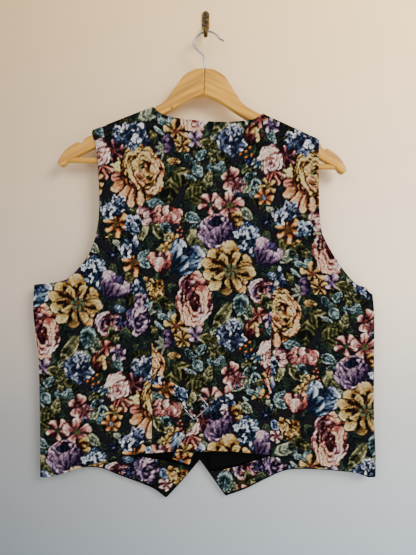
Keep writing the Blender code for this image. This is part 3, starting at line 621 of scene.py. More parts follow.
def cluster(u, v, width, height, yarn, florets, seed, low, size):
    """A head of small ragged flowers set by the golden angle, pale at the top left and dark below."""
    draw = np.random.default_rng(seed)
    where, x, y = cells_near(u, v, max(width, height) / 2 + 5, wander=1.4)
    r = np.hypot(x / width, y / height) * 2
    edge = 0.93 + 0.12 * np.sin(7 * np.arctan2(y, x) + seed)
    weave(where, r < edge, 0.3 - 0.2 * y / height + 0.15 * brushed(x, y, 2.0, 2.0, seed), low)
    for k in draw.permutation(florets):
        away, turn = np.sqrt((k + 0.5) / florets) * 0.9, k * GOLDEN_ANGLE
        cx, cy = u + away * np.cos(turn) * width / 2, v + away * np.sin(turn) * height / 2
        own = size * draw.uniform(0.75, 1.35)
        near, dx, dy = cells_near(cx, cy, own + 2, draw.uniform(0, 90), wander=1.3)
        angle, far = np.arctan2(dy, dx), np.hypot(dx, dy) / own
        shape = far < 0.55 + 0.4 * np.abs(np.cos(2 * angle))
        weave(near, far < 0.95, 0.15, low)
        lift = 0.5 - 0.4 * (cy - v) / height - 0.15 * (cx - u) / width + draw.uniform(-0.22, 0.22)
        tone = lift - 0.35 * (far < 0.25) + 0.45 * (far - 0.45) + 0.26 * brushed(dx, dy, 3.5, 1.5, k + seed)
        weave(near, shape, tone, yarn)


def cup(u, v, width, height, turn, yarn, inner, tip=0.95):
    """A tulip or bud from its side: two back petals, the dark inside, two side petals and a front one."""
    c, s = np.cos(np.radians(turn)), np.sin(np.radians(turn))
    bu, bv = u - c * height * 0.48, v - s * height * 0.48
    petal(bu, bv, turn - 24, height * 0.98, width * 0.55, yarn, base=0.2, tip=tip, blunt=1.3)
    petal(bu, bv, turn + 24, height * 0.96, width * 0.55, yarn, base=0.2, tip=tip - 0.1, blunt=1.3)
    petal(bu, bv, turn, height * 0.9, width * 0.62, inner, base=0.05, tip=0.45)
    petal(bu, bv, turn - 34, height * 0.8, width * 0.45, yarn, base=0.1, tip=tip, curl=0.12)
    petal(bu, bv, turn + 34, height * 0.8, width * 0.45, yarn, base=0.05, tip=tip - 0.15, curl=-0.12)
    petal(bu, bv, turn + 6, height * 0.62, width * 0.5, yarn, base=0.05, tip=tip - 0.1, blunt=1.2)


def berries(spots, size, yarn):
    """Round berries, lit from the top left."""
    for u, v in spots:
        where, x, y = cells_near(u, v, size + 3, wander=0.5)
        r = np.hypot(x, y) / size
        weave(where, r < 1.25, 0.05, yarn)
        weave(where, r < 1, 0.85 - 0.6 * np.hypot(x + size / 3, y + size / 3) / size, yarn)


everywhere = np.ix_(np.arange(CHART_ROWS), np.arange(CHART_COLUMNS))
weave(everywhere, np.ones(spread, bool), 0.5, "ground")

# Small dark leaves everywhere, spread evenly by two irrational steps, so that only a few gaps are left
SMALL_LEAVES, STEP_ACROSS, STEP_DOWN, STEP_TURN = 115, 0.7548777, 0.5698403, 137.5
for k in range(SMALL_LEAVES):
    u, v = REPEAT_WIDTH * ((k * STEP_ACROSS) % 1), REPEAT_HEIGHT * ((k * STEP_DOWN) % 1)
    yarn = ("green", "green", "olive")[k % 3]
    leaf(u, v, (k * STEP_TURN) % 360, 30 + k % 5 * 3, 14 + k % 4 * 2, yarn, 0.3, vein=0.2)

# Dark leaves that fill the ground: u, v, turn, length, width, yarn
for row in (
    (46, 28, -20, 50, 26, "green"), (22, 33, 200, 34, 20, "olive"), (155, 42, -50, 56, 38, "green"),
    (84, 99, 140, 36, 22, "green"), (232, 56, 90, 26, 20, "green"), (150, 134, 10, 34, 26, "green"),
    (104, 78, 20, 34, 16, "green"), (234, 257, 90, 36, 24, "green"), (250, 258, 60, 26, 16, "green"),
    (145, 240, 10, 30, 18, "green"), (244, 160, 20, 24, 14, "green"), (78, 270, -30, 32, 18, "green"),
    (120, 272, 60, 30, 16, "green"), (8, 206, 20, 34, 22, "green"), (56, 214, 80, 30, 22, "green"),
    (24, 292, 10, 32, 20, "green"), (98, 290, 40, 24, 14, "green"), (174, 76, 60, 24, 14, "green"),
    (62, 148, 0, 30, 14, "green"), (130, 160, 40, 26, 16, "green"), (205, 150, 60, 24, 14, "green"),
    (256, 14, 100, 34, 22, "green"), (75, 8, 10, 40, 20, "olive"), (112, 20, 60, 30, 18, "green"),
    (190, 20, 20, 36, 20, "green"), (225, 10, 120, 26, 14, "olive"), (18, 12, 160, 34, 18, "green"),
    (50, 2, 20, 30, 18, "green"), (200, 100, 20, 22, 12, "green"), (240, 210, 80, 24, 14, "green"),
    (164, 226, 30, 26, 14, "green"), (212, 236, 90, 24, 14, "green"), (262, 214, 60, 24, 14, "green"),
    (40, 226, 60, 24, 16, "green"), (92, 254, 60, 26, 14, "green"), (140, 120, 80, 30, 18, "green"),
):
    leaf(*row, 0.35, veins=6)

# Leaves that show: the same, then how much paler the rim is
for row in (
    (72, 18, 75, 20, 9, "teal", 0.2), (81, 31, 20, 22, 9, "teal", 0.2), (93, 24, -50, 18, 9, "teal", 0.3),
    (98, 16, -20, 16, 7, "teal", 0.3), (64, 50, 60, 24, 12, "olive", 0.1), (74, 44, 40, 20, 6, "teal", 0.2),
    (114, 117, 30, 46, 28, "olive", 0.0), (90, 137, 95, 42, 28, "olive", 0.0),
    (128, 128, -20, 30, 18, "olive", 0.0), (97, 91, 4, 20, 10, "cream", 0.1),
    (121, 88, 30, 18, 10, "teal", 0.4), (139, 82, -60, 20, 13, "teal", 0.3),
    (126, 93, 10, 16, 8, "teal", 0.4), (134, 107, 60, 20, 17, "teal", 0.2),
    (122, 116, 25, 20, 5, "teal", 0.5), (158, 101, 12, 21, 13, "teal", 0.2),
    (172, 100, 65, 22, 10, "teal", 0.2), (162, 74, -60, 28, 14, "lime", 0.1),
    (155, 88, 60, 20, 11, "lime", 0.1), (168, 46, 137, 44, 14, "sage", 0.3),
    (247, 53, 60, 28, 12, "teal", 0.2), (150, 121, -75, 29, 14, "lime", 0.2),
    (209, 131, -62, 22, 13, "sage", 0.5), (215, 112, -15, 20, 8, "teal", 0.3),
    (207, 119, -50, 17, 7, "teal", 0.3), (219, 142, 20, 15, 10, "teal", 0.2),
    (131, 142, -30, 36, 26, "olive", 0.2), (197, 142, 50, 16, 7, "blue", 0.1),
    (71, 157, 15, 32, 14, "teal", 0.2), (35, 168, 30, 17, 12, "lime", 0.0),
    (48, 196, 95, 36, 19, "lime", 0.5), (78, 200, 40, 34, 21, "lime", 0.5),
    (84, 192, 50, 24, 12, "teal", 0.3), (126, 178, 22, 26, 15, "teal", 0.6),
    (130, 193, -10, 17, 8, "teal", 0.3), (132, 212, 55, 38, 25, "lime", 0.1),
    (150, 215, 60, 26, 10, "lime", 0.1), (51, 236, -50, 24, 14, "teal", 0.2),
    (54, 248, 15, 25, 14, "teal", 0.3), (43, 282, 70, 19, 12, "navy", 1.0),
    (114, 264, 60, 20, 8, "sage", 0.0), (209, 172, 40, 26, 14, "sage", 0.5),
    (201, 191, -10, 20, 12, "brown", 0.1), (144, 230, 10, 16, 8, "sage", 0.4),
    (251, 268, 10, 22, 10, "blue", 0.2), (224, 127, 80, 20, 14, "teal", 0.7),
    (206, 104, -60, 14, 6, "lime", 0.2), (196, 170, 60, 18, 8, "olive", 0.2),
    (246, 166, 30, 18, 8, "sage", 0.3), (60, 186, 20, 18, 8, "olive", 0.3),
    (4, 212, 30, 24, 12, "olive", 0.3),
):
    base = 0.5 if row[5] in ("teal", "sage", "lime") else 0.42
    leaf(*row[:6], base, row[6])

# The flowers and leaves themselves, in the order in which they lie over each other
rose(42, 110, 80, 86, ("peach", "peach", "gold", "peach", "gold", "gold"), "olive", (0.18, -0.2), 4, 3)
for turn, length, yarn in (
    (172, 40, "coral"), (200, 42, "cream"), (150, 46, "peach"),
    (125, 48, "peach"), (104, 50, "peach"), (84, 46, "peach"),
):
    at = np.radians(turn)
    petal(42 + 14 * np.cos(at), 112 + 14 * np.sin(at), turn, length * 0.72, 16, yarn, base=0.35, tip=0.9)
rose(44, 104, 58, 62, ("peach", "gold", "peach", "gold", "gold", "gold"), "olive", (0.14, -0.12), 3, 5)
cluster(30, 53, 60, 42, "lavender", 34, 11, "navy", 5.4)
bloom(100, 46, 38, 40, 6, "gold", "maroon", 20)
bloom(110, 66, 28, 24, 5, "gold", "brown", 50)
cup(86, 67, 26, 27, -150, "mauve", "purple", 0.72)
for turn in (150, 200, 240, 100):
    petal(82, 74, turn, 16, 4, "sage", base=0.3, tip=0.8)
bloom(6, 76, 26, 34, 5, "dusty", "maroon", 30)
yarns = ("coral", "dusty", "coral", "coral", "dusty", "coral")
rose(128, 5, 54, 86, yarns, "maroon", (0.1, 0.1), 4, 8, dark=0.24)
bloom(130, 58, 26, 26, 4, "mauve", "purple", 30)
petal(198, 26, 70, 26, 22, "sage", base=0.5, tip=0.9)
cluster(185, 59, 40, 50, "lavender", 24, 21, "navy", 5.6)
cup(218, 53, 26, 30, -60, "maroon", "maroon", 0.5)
petal(214, 50, -40, 16, 10, "gold", base=0.3, tip=0.9)
petal(222, 44, 60, 18, 6, "cream", base=0.6, tip=1.0, curl=0.25)
bloom(227, 28, 30, 24, 5, "coral", "maroon", 10)
bloom(247, 36, 26, 24, 5, "mauve", "purple", 50)
rose(246, 90, 40, 46, ("pink", "dusty", "pink", "dusty"), "maroon", (0.0, -0.1), 4, 12)
for turn in (20, 60, 100):
    petal(246, 106, turn, 24, 14, "coral", base=0.4, tip=0.95)
bloom(185, 119, 28, 34, 4, "pink", "maroon", 20)
bloom(195, 128, 24, 24, 5, "dusty", "maroon", 60, 0.35, 0.7)
bloom(241, 130, 25, 24, 5, "gold", "olive", 30, 0.3)
bloom(236, 146, 27, 23, 6, "orange", "blue", 0, 0.28)
berries(((200, 81), (208, 77), (218, 82), (214, 70), (209, 86), (222, 90)), 2.8, "orange")
bloom(224, 95, 16, 15, 6, "teal", "navy", 0, 0.3)
bloom(212, 92, 12, 10, 5, "lavender", "navy", 0)
cup(54, 174, 28, 27, 160, "dusty", "maroon")
cup(72, 173, 26, 24, -20, "pink", "maroon")
cluster(12, 159, 30, 26, "lavender", 12, 31, "navy", 5.5)
bloom(8, 187, 34, 46, 6, "orange", "brown", 20, 0.25)
cluster(35, 189, 28, 28, "blue", 12, 17, "navy", 4.6)
cup(93, 174, 27, 29, -80, "pink", "coral")
berries(((104, 186), (107, 193), (110, 199), (108, 206), (112, 211), (103, 197)), 2.2, "coral")
bloom(97, 212, 19, 19, 5, "gold", "brown", 20)
bloom(85, 224, 20, 17, 5, "gold", "brown", 60)
cup(111, 242, 46, 54, -50, "blue", "navy")
petal(122, 222, 20, 26, 10, "lavender", base=0.5, tip=0.9, curl=0.2)
cup(76, 246, 30, 37, -95, "coral", "dusty")
petal(72, 262, -80, 24, 16, "pink", base=0.5, tip=1.0)
cup(29, 224, 20, 36, -110, "lavender", "blue")
bloom(11, 227, 16, 16, 6, "navy", "lavender", 0, 0.3)
cluster(21, 243, 20, 16, "mauve", 8, 41, "navy", 3.6)
cluster(32, 256, 20, 18, "blue", 9, 42, "navy", 3.8)
rose(14, 275, 38, 48, ("mauve", "mauve", "purple", "mauve"), "purple", (0.1, 0.2), 3, 15)
bloom(56, 279, 20, 20, 5, "gold", "brown", 40)
cluster(68, 291, 34, 30, "gold", 13, 44, "brown", 5.2)
bloom(44, 299, 20, 18, 5, "dusty", "maroon", 0)
bloom(153, 156, 36, 34, 5, "pink", "green", -60, 0.26)
bloom(183, 159, 44, 42, 5, "pink", "olive", -20, 0.26)
rose(163, 200, 56, 54, ("mauve", "mauve", "purple", "dusty", "mauve"), "purple", (0.0, -0.05), 3, 19)
cup(163, 198, 44, 46, -100, "mauve", "navy")
cup(192, 180, 17, 22, -10, "gold", "brown")
cluster(212, 211, 42, 54, "blue", 26, 51, "navy", 5.6)
for turn, length, width, yarn in (
    (-92, 43, 30, "gold"), (-140, 44, 26, "gold"), (195, 46, 20, "gold"), (166, 42, 24, "cream"),
    (135, 44, 22, "cream"), (100, 40, 20, "brown"), (60, 42, 18, "orange"), (40, 32, 18, "peach"),
    (-32, 36, 26, "gold"), (6, 38, 28, "cream"), (-62, 30, 18, "cream"), (-115, 28, 18, "cream"),
    (150, 26, 16, "cream"), (70, 32, 27, "cream"),
):
    petal(184, 258, turn, length, width, yarn, base=0.36, tip=0.9)
bloom(185, 259, 22, 22, 6, "green", "brown", 10, 0.3, 0.7)
cup(241, 233, 40, 46, -55, "mauve", "purple")
bloom(239, 184, 16, 15, 6, "navy", "lavender", 0)
cluster(260, 175, 26, 24, "lavender", 9, 61, "navy", 5.6)
rose(232, 291, 42, 36, ("dusty", "pink", "mauve", "dusty"), "maroon", (0, 0), 3, 23)
bloom(250, 289, 16, 16, 5, "purple", "navy", 0)

# Leaves over the flowers: u, v, turn, length, width, yarn
for row in (
    (171, 31, 125, 50, 18, "lime"), (200, 12, 100, 38, 22, "teal"), (214, 24, 70, 26, 12, "sage"),
    (150, 66, 20, 28, 15, "olive"), (60, 18, -25, 40, 18, "sage"), (84, 10, 30, 34, 16, "olive"),
    (240, 8, 60, 30, 14, "lime"),
):
    leaf(*row, 0.4, 0.25)

# The weft is beaten tight, so each yarn stands out: the chart gains what it has over its own blur
CRISP, CRISP_REACH, CRISP_POWER = 0.65, 2.2, 0.45
DARKEST, LIGHTEST = 0.055, 0.9
lightness = chart**CRISP_POWER
down, over = np.fft.fftfreq(CHART_ROWS)[:, None, None], np.fft.fftfreq(CHART_COLUMNS)[None, :, None]
kept = np.exp(-2 * (np.pi * CRISP_REACH) ** 2 * (down**2 + over**2))
blurred = np.fft.ifft2(np.fft.fft2(lightness, axes=(0, 1)) * kept, axes=(0, 1)).real
chart = np.clip(lightness + CRISP * (lightness - blurred), DARKEST, LIGHTEST) ** (1 / CRISP_POWER)


def pattern_at(u, v):
    """The cloth's colour at u, v. The repeats step down to the right."""
    v = v - REPEAT_FALL * (u - REPEAT_WIDTH / 2)
    return between(chart, v / CELL - 0.5, u / CELL - 0.5)


# The back. A centre panel, with a stem between the long seams and a yoke above it, and two side panels.
# Each is tapestry bagged out with black satin, pressed flat at its edges and turned over the shoulders and
# round to the side seams.
WALL = 1.6
GAP = 0.3
HANG = np.array(  # z, y of the back, y of the side seams, y of the fronts
    [
        (-800, -20.5, -14.0, -7.5),
        (-690, -21.5, -14.0, -7.5),
        (-560, -24.0, -15.5, -7.5),
        (-400, -26.5, -17.5, -9.5),
        (-250, -29.2, -21.5, -13.0),
        (-140, -29.2, -22.0, -13.4),
    ]
)
SIDE_THINNING, HALF_CHEST, THINNING_TOP, THINNING_RUN = 0.25, 265.0, -260, 140
SEAM_VALLEY, SEAM_VALLEY_REACH, VALLEY_TOP, VALLEY_RUN = 1.6, 25.0, -430, 120
SIDE_ROLL, SHOULDER_ROLL, NECK_SLACK, ROLL_START, NECK_FADE = 11.0, 4.8, 0.7, 2.5, 6
TIP = {"left": (-175, -185), "right": (175, -199)}
NECK = {"left": (-82, -148.6), "right": (88, -159)}
NECKLINE = [
    (-82, -148.6), (-68, -160), (-45, -166.5), (0, -171.5), (35, -172.5), (63, -170.5), (77, -167),
    (88, -159),
]
ARMHOLE_UPPER = {
    "left": [(-170, -350), (-165, -320), (-164, -285), (-166, -240), (-170, -208), (-174.5, -192)],
    "right": [(180, -345), (176.5, -322), (175, -290), (174, -250), (174, -225), (175, -206)],
}
ARMHOLE_LOWER = {
    "left": [
        (-267, -424), (-247, -422), (-227, -418.5), (-209, -410), (-190, -390), (-179, -373), (-170, -350),
    ],
    "right": [(260, -438), (250, -429), (233, -422), (217, -405), (204, -387), (192, -368), (180, -345)],
}
SIDE = {
    "left": [(-259, -725), (-259, -635), (-261, -539), (-268.5, -467), (-267, -424)],
    "right": [(266, -725), (266, -689), (263, -613), (263, -482), (260, -438)],
}
BACK_SEAM = {
    "left": [(-85, -687), (-83, -600), (-85, -493), (-91, -432), (-103, -390)],
    "right": [(101, -690), (101, -600), (102, -493), (106, -425), (114, -390)],
}
BACK_SEAM_TOP = {
    "left": [(-103, -390), (-120, -363), (-144, -350), (-170, -350)],
    "right": [(114, -390), (127, -366), (150, -350), (180, -345)],
}
BACK_HEM = [(-85, -687), (-52, -684), (-4, -683.5), (30, -683), (68, -686), (101, -690)]
SIDE_HEM = {
    "left": [(-259, -725), (-221, -718), (-185, -706), (-147, -696), (-119, -690), (-85, -687)],
    "right": [(266, -725), (235, -718), (203, -712.5), (142, -708), (120, -701), (101, -690)],
}
ROLL_ANGLES = np.r_[0.0, np.linspace(0, 82, 11)]  # the first twice: at the seam, and where the roll starts
EDGE_STEPS = np.array([0.0, 0.25, 0.6, 1.1, 1.8, 2.8])  # from an edge inwards, before the even cells start
EDGE_ROUND = 1.3
SEAM_SINK, SEAM_REACH = 0.55, 2.2
CUT_U, CUT_V = 145.8, -142.3  # where the middle of the hook's plate would lie on the centre back's cloth
BACK_CELL, SIDE_CELL = 1.35, 1.5
SHOULDER_COLUMNS, JOIN_COLUMNS, WING_COLUMNS = 74, 170, 54
JOIN_LENGTH, SIDE_WIDTH = 217.0, 170.0


def fine(length, cell):
    """Shares of a length in even cells, with closer ones at both of its ends."""
    near = EDGE_STEPS / length
    count = int(round((1 - 2 * near[-1]) * length / cell))
    return np.r_[near[:-1], np.linspace(near[-1], 1 - near[-1], count + 1), (1 - near[:-1])[::-1]]


def length_of(points):
    """The length of the straight steps from point to point."""
    return np.linalg.norm(np.diff(np.asarray(points, float), axis=0), axis=1).sum()


def chain(*stretches):
    """One edge from several (points, shares), with a vertex at each corner."""
    made = [smooth(points, shares) for points, shares in stretches]
    return np.vstack([made[0], *[m[1:] for m in made[1:]]])


def shares_of(edge):
    """How far along an edge each of its points lies, from 0 to 1."""
    run = np.r_[0, np.cumsum(np.linalg.norm(np.diff(edge, axis=0), axis=1))]
    return run / run[-1]


def patch(left, right, bottom, top):
    """A grid of x, z between four edges, row by row from left to right, by transfinite interpolation: what
    the two sides give and what the two ends give, less what the corners give twice."""
    t, s = shares_of(left)[:, None, None], shares_of(bottom)[None, :, None]
    sides = (1 - s) * left[:, None] + s * right[:, None]
    ends = (1 - t) * bottom[None] + t * top[None]
    corners = (1 - t) * ((1 - s) * bottom[0] + s * bottom[-1]) + t * ((1 - s) * top[0] + s * top[-1])
    return sides + ends - corners


def level(z, column):
    """The y that the hang table gives at a height."""
    return np.interp(z, HANG[:, 0], HANG[:, column])


def thinned(x, z):
    """Share of the full depth: less towards the side seams, below the hanger."""
    return 1 - SIDE_THINNING * (x / HALF_CHEST) ** 2 * np.clip((THINNING_TOP - z) / THINNING_RUN, 0, 1)


def seam_x(z, side):
    """The x of a long back seam at a height."""
    points = np.array(BACK_SEAM[side])
    return np.interp(z, points[:, 1], points[:, 0])


def back_y(x, z):
    """The middle of the back's wall: its level at this height, drawn in along the seams."""
    middle = level(z, 2)
    flat = middle + (level(z, 1) - middle) * thinned(x, z)
    drawn = np.clip((VALLEY_TOP - z) / VALLEY_RUN, 0, 1)
    for side in ("left", "right"):
        flat = flat + SEAM_VALLEY * drawn * np.exp(-(((x - seam_x(z, side)) / SEAM_VALLEY_REACH) ** 2))
    return flat


def with_y(grid, surface):
    """A grid of x, y, z from one of x, z, laid on a surface."""
    x, z = grid[..., 0], grid[..., 1]
    return np.stack([x, surface(x, z), z], axis=-1)


def ridge(x, side):
    """The height of the shoulder seam at x: the straight line from its tip to the neck."""
    (x0, z0), (x1, z1) = TIP[side], NECK[side]
    return z0 + (x - x0) * (z1 - z0) / (x1 - x0)


def turned(edge, inner, middle, sewn, above=None):
    """Rows of points from a seam to the first row of the flat cloth. Where it is sewn, a share from 0 to 1,
    they follow a quarter ellipse to the seam, which lies at y = middle. Elsewhere they stay in the cloth's
    own plane or, with the height of the ridge above them, on the same roll."""
    flat = inner[:, 1]
    out = np.sign(flat - middle)
    span = inner[:, [0, 2]] - edge
    turn = np.radians(ROLL_ANGLES)[:, None]
    even_share = np.arange(len(turn))[:, None] / len(turn)
    share = sewn * (1 - np.cos(turn)) + (1 - sewn) * even_share
    place = edge + span * share[..., None]
    if above is None:
        loose = np.ones_like(share)
    else:
        fall = np.clip((above - place[..., 1] + NECK_SLACK) / SHOULDER_ROLL, 0, 1)
        loose = np.sqrt(1 - (1 - fall) ** 2)
    rise = sewn * np.sin(turn) + (1 - sewn) * loose
    y = middle + out * ROLL_START + (flat - middle - out * ROLL_START) * rise
    y[0] = sewn * (middle + out * GAP / 2) + (1 - sewn) * y[0]
    return np.stack([place[..., 0], y, place[..., 1]], axis=-1)


def from_edges(grid, join=None):
    """How far each point of a grid lies from each of its edges, along its row or its column. Where another
    shell goes on from a stretch of an edge, the distance is that from the stretch's ends."""
    down = np.cumsum(np.linalg.norm(np.diff(grid, axis=0, prepend=grid[:1]), axis=-1), axis=0)
    over = np.cumsum(np.linalg.norm(np.diff(grid, axis=1, prepend=grid[:, :1]), axis=-1), axis=1)
    far = {"bottom": down, "top": down[-1:] - down, "left": over, "right": over[:, -1:] - over}
    if join:
        edge, first, last = join
        along = np.minimum(over - over[:, [first]], over[:, [last]] - over)
        joined = slice(first, last + 1)
        far[edge][:, joined] = np.hypot(far[edge][:, joined], along[:, joined])
    return far


def shell(name, grid, paint, finishes, nodes, wall=WALL, face=1, sewn=(), join=None):
    """A closed cloth wall about a grid of points in millimetres. Its two sides lie half the wall from the
    middle, along the cross product of the grid's steps, and meet at its edges by a circle's arc; the outer
    side sinks a little more by a sewn edge. The first finish is the outer side's, and paint gives u, v on
    the cloth. A join is an edge, and its first and last column, from which another shell goes on: there the
    wall is full and ends in a flat rim."""
    rows, columns = grid.shape[:2]
    far = from_edges(grid, join)
    away = np.min(list(far.values()), axis=0)
    normals = np.cross(np.gradient(grid, axis=1), np.gradient(grid, axis=0)) * face
    normals /= np.maximum(np.linalg.norm(normals, axis=-1, keepdims=True), 1e-9)
    half = wall / 2 * np.sqrt(1 - np.clip(1 - away / EDGE_ROUND, 0, 1) ** 2)
    by_seam = np.min([far[edge] for edge in sewn], axis=0) if sewn else np.full(away.shape, np.inf)
    sink = SEAM_SINK * np.exp(-((by_seam / SEAM_REACH) ** 2)) * (away > 0)
    outer, inner = grid + normals * (half - sink)[..., None], grid - normals * half[..., None]
    index = np.arange(rows * columns).reshape(rows, columns)
    meet = half < 1e-6
    below = np.where(meet, index, index + index.size)
    cells = quads(rows, columns)
    faces = [cells, below.ravel()[cells][:, ::-1]]
    rim = np.zeros((2, 0), int)
    if join:
        row = 0 if join[0] == "bottom" else -1
        rim = np.stack([index[row], below[row]])[:, join[1] : join[2] + 1]
        faces.append(rim.ravel()[quads(2, rim.shape[1])][:, :: 1 if row else -1])
    side = np.repeat([0, len(finishes) - 1, 0][: len(faces)], [len(f) for f in faces])
    kept = np.r_[np.ones(index.size, bool), ~meet.ravel()]
    renumbered = np.cumsum(kept) - 1
    faces = renumbered[np.vstack(faces)][:, ::face]
    points = np.vstack([outer.reshape(-1, 3), inner.reshape(-1, 3)])[kept] * 0.001
    item = add(name, points, faces, finishes[0])
    ends = np.empty(2 * len(item.data.edges), np.int32)
    item.data.edges.foreach_get("vertices", ends)
    sharp = [np.isin(ends.reshape(-1, 2), renumbered[line]).all(axis=1) for line in rim]
    item.data.attributes.new("sharp_edge", "BOOLEAN", "EDGE").data.foreach_set("value", sharp[0] | sharp[1])
    if len(finishes) > 1:
        item.data.materials.append(finishes[1].material)
    item.data.polygons.foreach_set("material_index", side.astype(np.int32))
    if paint:
        colours = pattern_at(*paint(grid)).reshape(-1, 3)
        colours = np.vstack([colours, colours])[kept]
        layer = item.data.attributes.new("pattern", "FLOAT_COLOR", "POINT")
        layer.data.foreach_set("color", np.c_[colours, np.ones(len(colours))].astype(np.float32).ravel())
    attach(item, "root")
    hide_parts(*nodes)
    return item


def laid(du, dv):
    """Where a panel's points lie on the cloth, whose repeat was cut this far from the centre back's."""
    return lambda grid: (grid[..., 0] + CUT_U + du, CUT_V - grid[..., 2] + dv)


def stretch(points, cell):
    """Points of a curve, and the shares of its length at even cells with closer ones at both ends."""
    return points, fine(length_of(points), cell)


half = GAP / 2
stem_rows = fine(length_of(BACK_SEAM["left"]), BACK_CELL)
stem_left = smooth(BACK_SEAM["left"], stem_rows) + [half, 0]
stem_right = smooth(BACK_SEAM["right"], stem_rows) - [half, 0]
join_shares = fine(JOIN_LENGTH, JOIN_LENGTH / (JOIN_COLUMNS - 2 * (len(EDGE_STEPS) - 1)))
join_line = smooth([stem_left[-1], stem_right[-1]], join_shares)
bottom = smooth(BACK_HEM, join_shares)
bottom[0], bottom[-1] = stem_left[0], stem_right[0]
stem = with_y(patch(stem_left, stem_right, bottom, join_line), back_y)
wing = np.linspace(0, 1, WING_COLUMNS + 1)
wing_left = smooth(BACK_SEAM_TOP["left"][::-1], wing) + [half, half]
wing_right = smooth(BACK_SEAM_TOP["right"], wing) + [-half, half]
wing_left[-1], wing_right[0] = join_line[0], join_line[-1]
bottom = np.vstack([wing_left[:-1], join_line, wing_right[1:]])
yoke_rows = fine(length_of(ARMHOLE_UPPER["left"]), BACK_CELL)
left, right = smooth(ARMHOLE_UPPER["left"], yoke_rows), smooth(ARMHOLE_UPPER["right"], yoke_rows)
left[0], right[0] = bottom[0], bottom[-1]
neck_columns = len(bottom) - 1 - 2 * SHOULDER_COLUMNS
shoulder = np.linspace(0, 1, SHOULDER_COLUMNS + 1)
edge = np.vstack(
    [
        smooth([TIP["left"], NECK["left"]], shoulder)[:-1],
        smooth(NECKLINE, np.linspace(0, 1, neck_columns + 1)),
        smooth([NECK["right"], TIP["right"]], shoulder)[1:],
    ]
)
top = edge - [0, SHOULDER_ROLL]
left[-1], right[-1] = top[0], top[-1]
yoke = with_y(patch(left, right, bottom, top), back_y)
past_neck = np.maximum(np.minimum(edge[:, 0] - NECK["left"][0], NECK["right"][0] - edge[:, 0]), 0)
above = np.where(edge[:, 0] < 0, ridge(edge[:, 0], "left"), ridge(edge[:, 0], "right"))
over = turned(edge, yoke[-1], level(edge[:, 1], 2), np.clip(1 - past_neck / NECK_FADE, 0, 1), above)[::-1]
yoke = np.concatenate([yoke, over])
joined_columns = ("bottom", WING_COLUMNS, WING_COLUMNS + len(join_line) - 1)
yoke_piece = shell(
    "back_yoke", yoke, laid(0, 0), (tapestry, satin), ["back_centre"], sewn=("bottom",),
    join=joined_columns,
)
stem_piece = shell(
    "back_stem", stem, laid(0, 0), (tapestry, satin), ["back_centre"], sewn=("left", "right"),
    join=("top", 0, len(join_line) - 1),
)

for side, inward, cut in (("left", 1, (237, -51)), ("right", -1, (-211, -219))):
    seam = chain(stretch(BACK_SEAM[side], BACK_CELL), stretch(BACK_SEAM_TOP[side], BACK_CELL))
    turn_at = int(np.argmin(np.linalg.norm(seam - BACK_SEAM[side][-1], axis=1)))
    seam = seam - [inward * half, 0]
    seam[turn_at + 1 :] -= [0, half]
    edge = smooth(SIDE[side], shares_of(seam))
    inner = edge + [inward * SIDE_ROLL, 0]
    across_panel = fine(SIDE_WIDTH, SIDE_CELL)
    hem = smooth([inner[0], *SIDE_HEM[side][1:-1], seam[0]], across_panel)
    armhole = smooth([inner[-1], *ARMHOLE_LOWER[side][1:-1], seam[-1]], across_panel)
    flat = with_y(patch(inner, seam, hem, armhole), back_y)
    rolled = turned(edge, flat[:, 0], level(edge[:, 1], 2), np.ones(len(edge)))
    panel = np.concatenate([rolled.transpose(1, 0, 2), flat], axis=1)
    made = shell(
        f"back_panel_{side}", panel, laid(*cut), (tapestry, satin), [f"back_side_{side}"],
        face=inward, sewn=("right",),
    )

# The fronts, on the wall side. Each has the V of the neck, a straight edge and a pointed hem; the right one
# laps over the left. They are tapestry with black satin inside, seamed to the back at shoulders and sides.
OVERLAP_START, OVERLAP_FULL, OVERLAP_DIP = -62.0, -32.0, 3.4
FRONT_CELL, FRONT_WIDTH, SIDE_FADE = 3.0, 230.0, 20.0
FRONT_CUT_U, FRONT_CUT_SIDE, FRONT_CUT_V = 200, 60, -90
FRONT_HEM = {
    "left": [(-259, -725), (-226, -721), (-193, -714), (-165, -716), (-138, -726), (-87, -744), (-63, -760)],
    "right": [(266, -725), (200, -719), (146, -717), (123, -720), (97, -731), (64, -747), (32, -758)],
}
FRONT_CUTAWAY = {
    "left": [(-63, -760), (-58, -758), (-10, -702), (2, -686)],
    "right": [(32, -758), (28, -755), (-10, -702), (-24, -686)],
}
FRONT_EDGE = {"left": [(2, -686), (2, -405)], "right": [(-24, -686), (-24, -405)]}
FRONT_NECK = {
    "left": [(2, -405), (-20, -345), (-50, -262), (-74, -190), (-82, -156)],
    "right": [(-24, -405), (4, -345), (45, -262), (78, -195), (88, -166)],
}


def front_y(x, z, side):
    """The middle of a front's wall. The left front passes behind the right one where they overlap."""
    middle = level(z, 2)
    flat = middle + (level(z, 3) - middle) * thinned(x, z)
    if side == "left":
        share = np.clip((x - OVERLAP_START) / (OVERLAP_FULL - OVERLAP_START), 0, 1)
        flat = flat - OVERLAP_DIP * share**2 * (3 - 2 * share)
    return flat


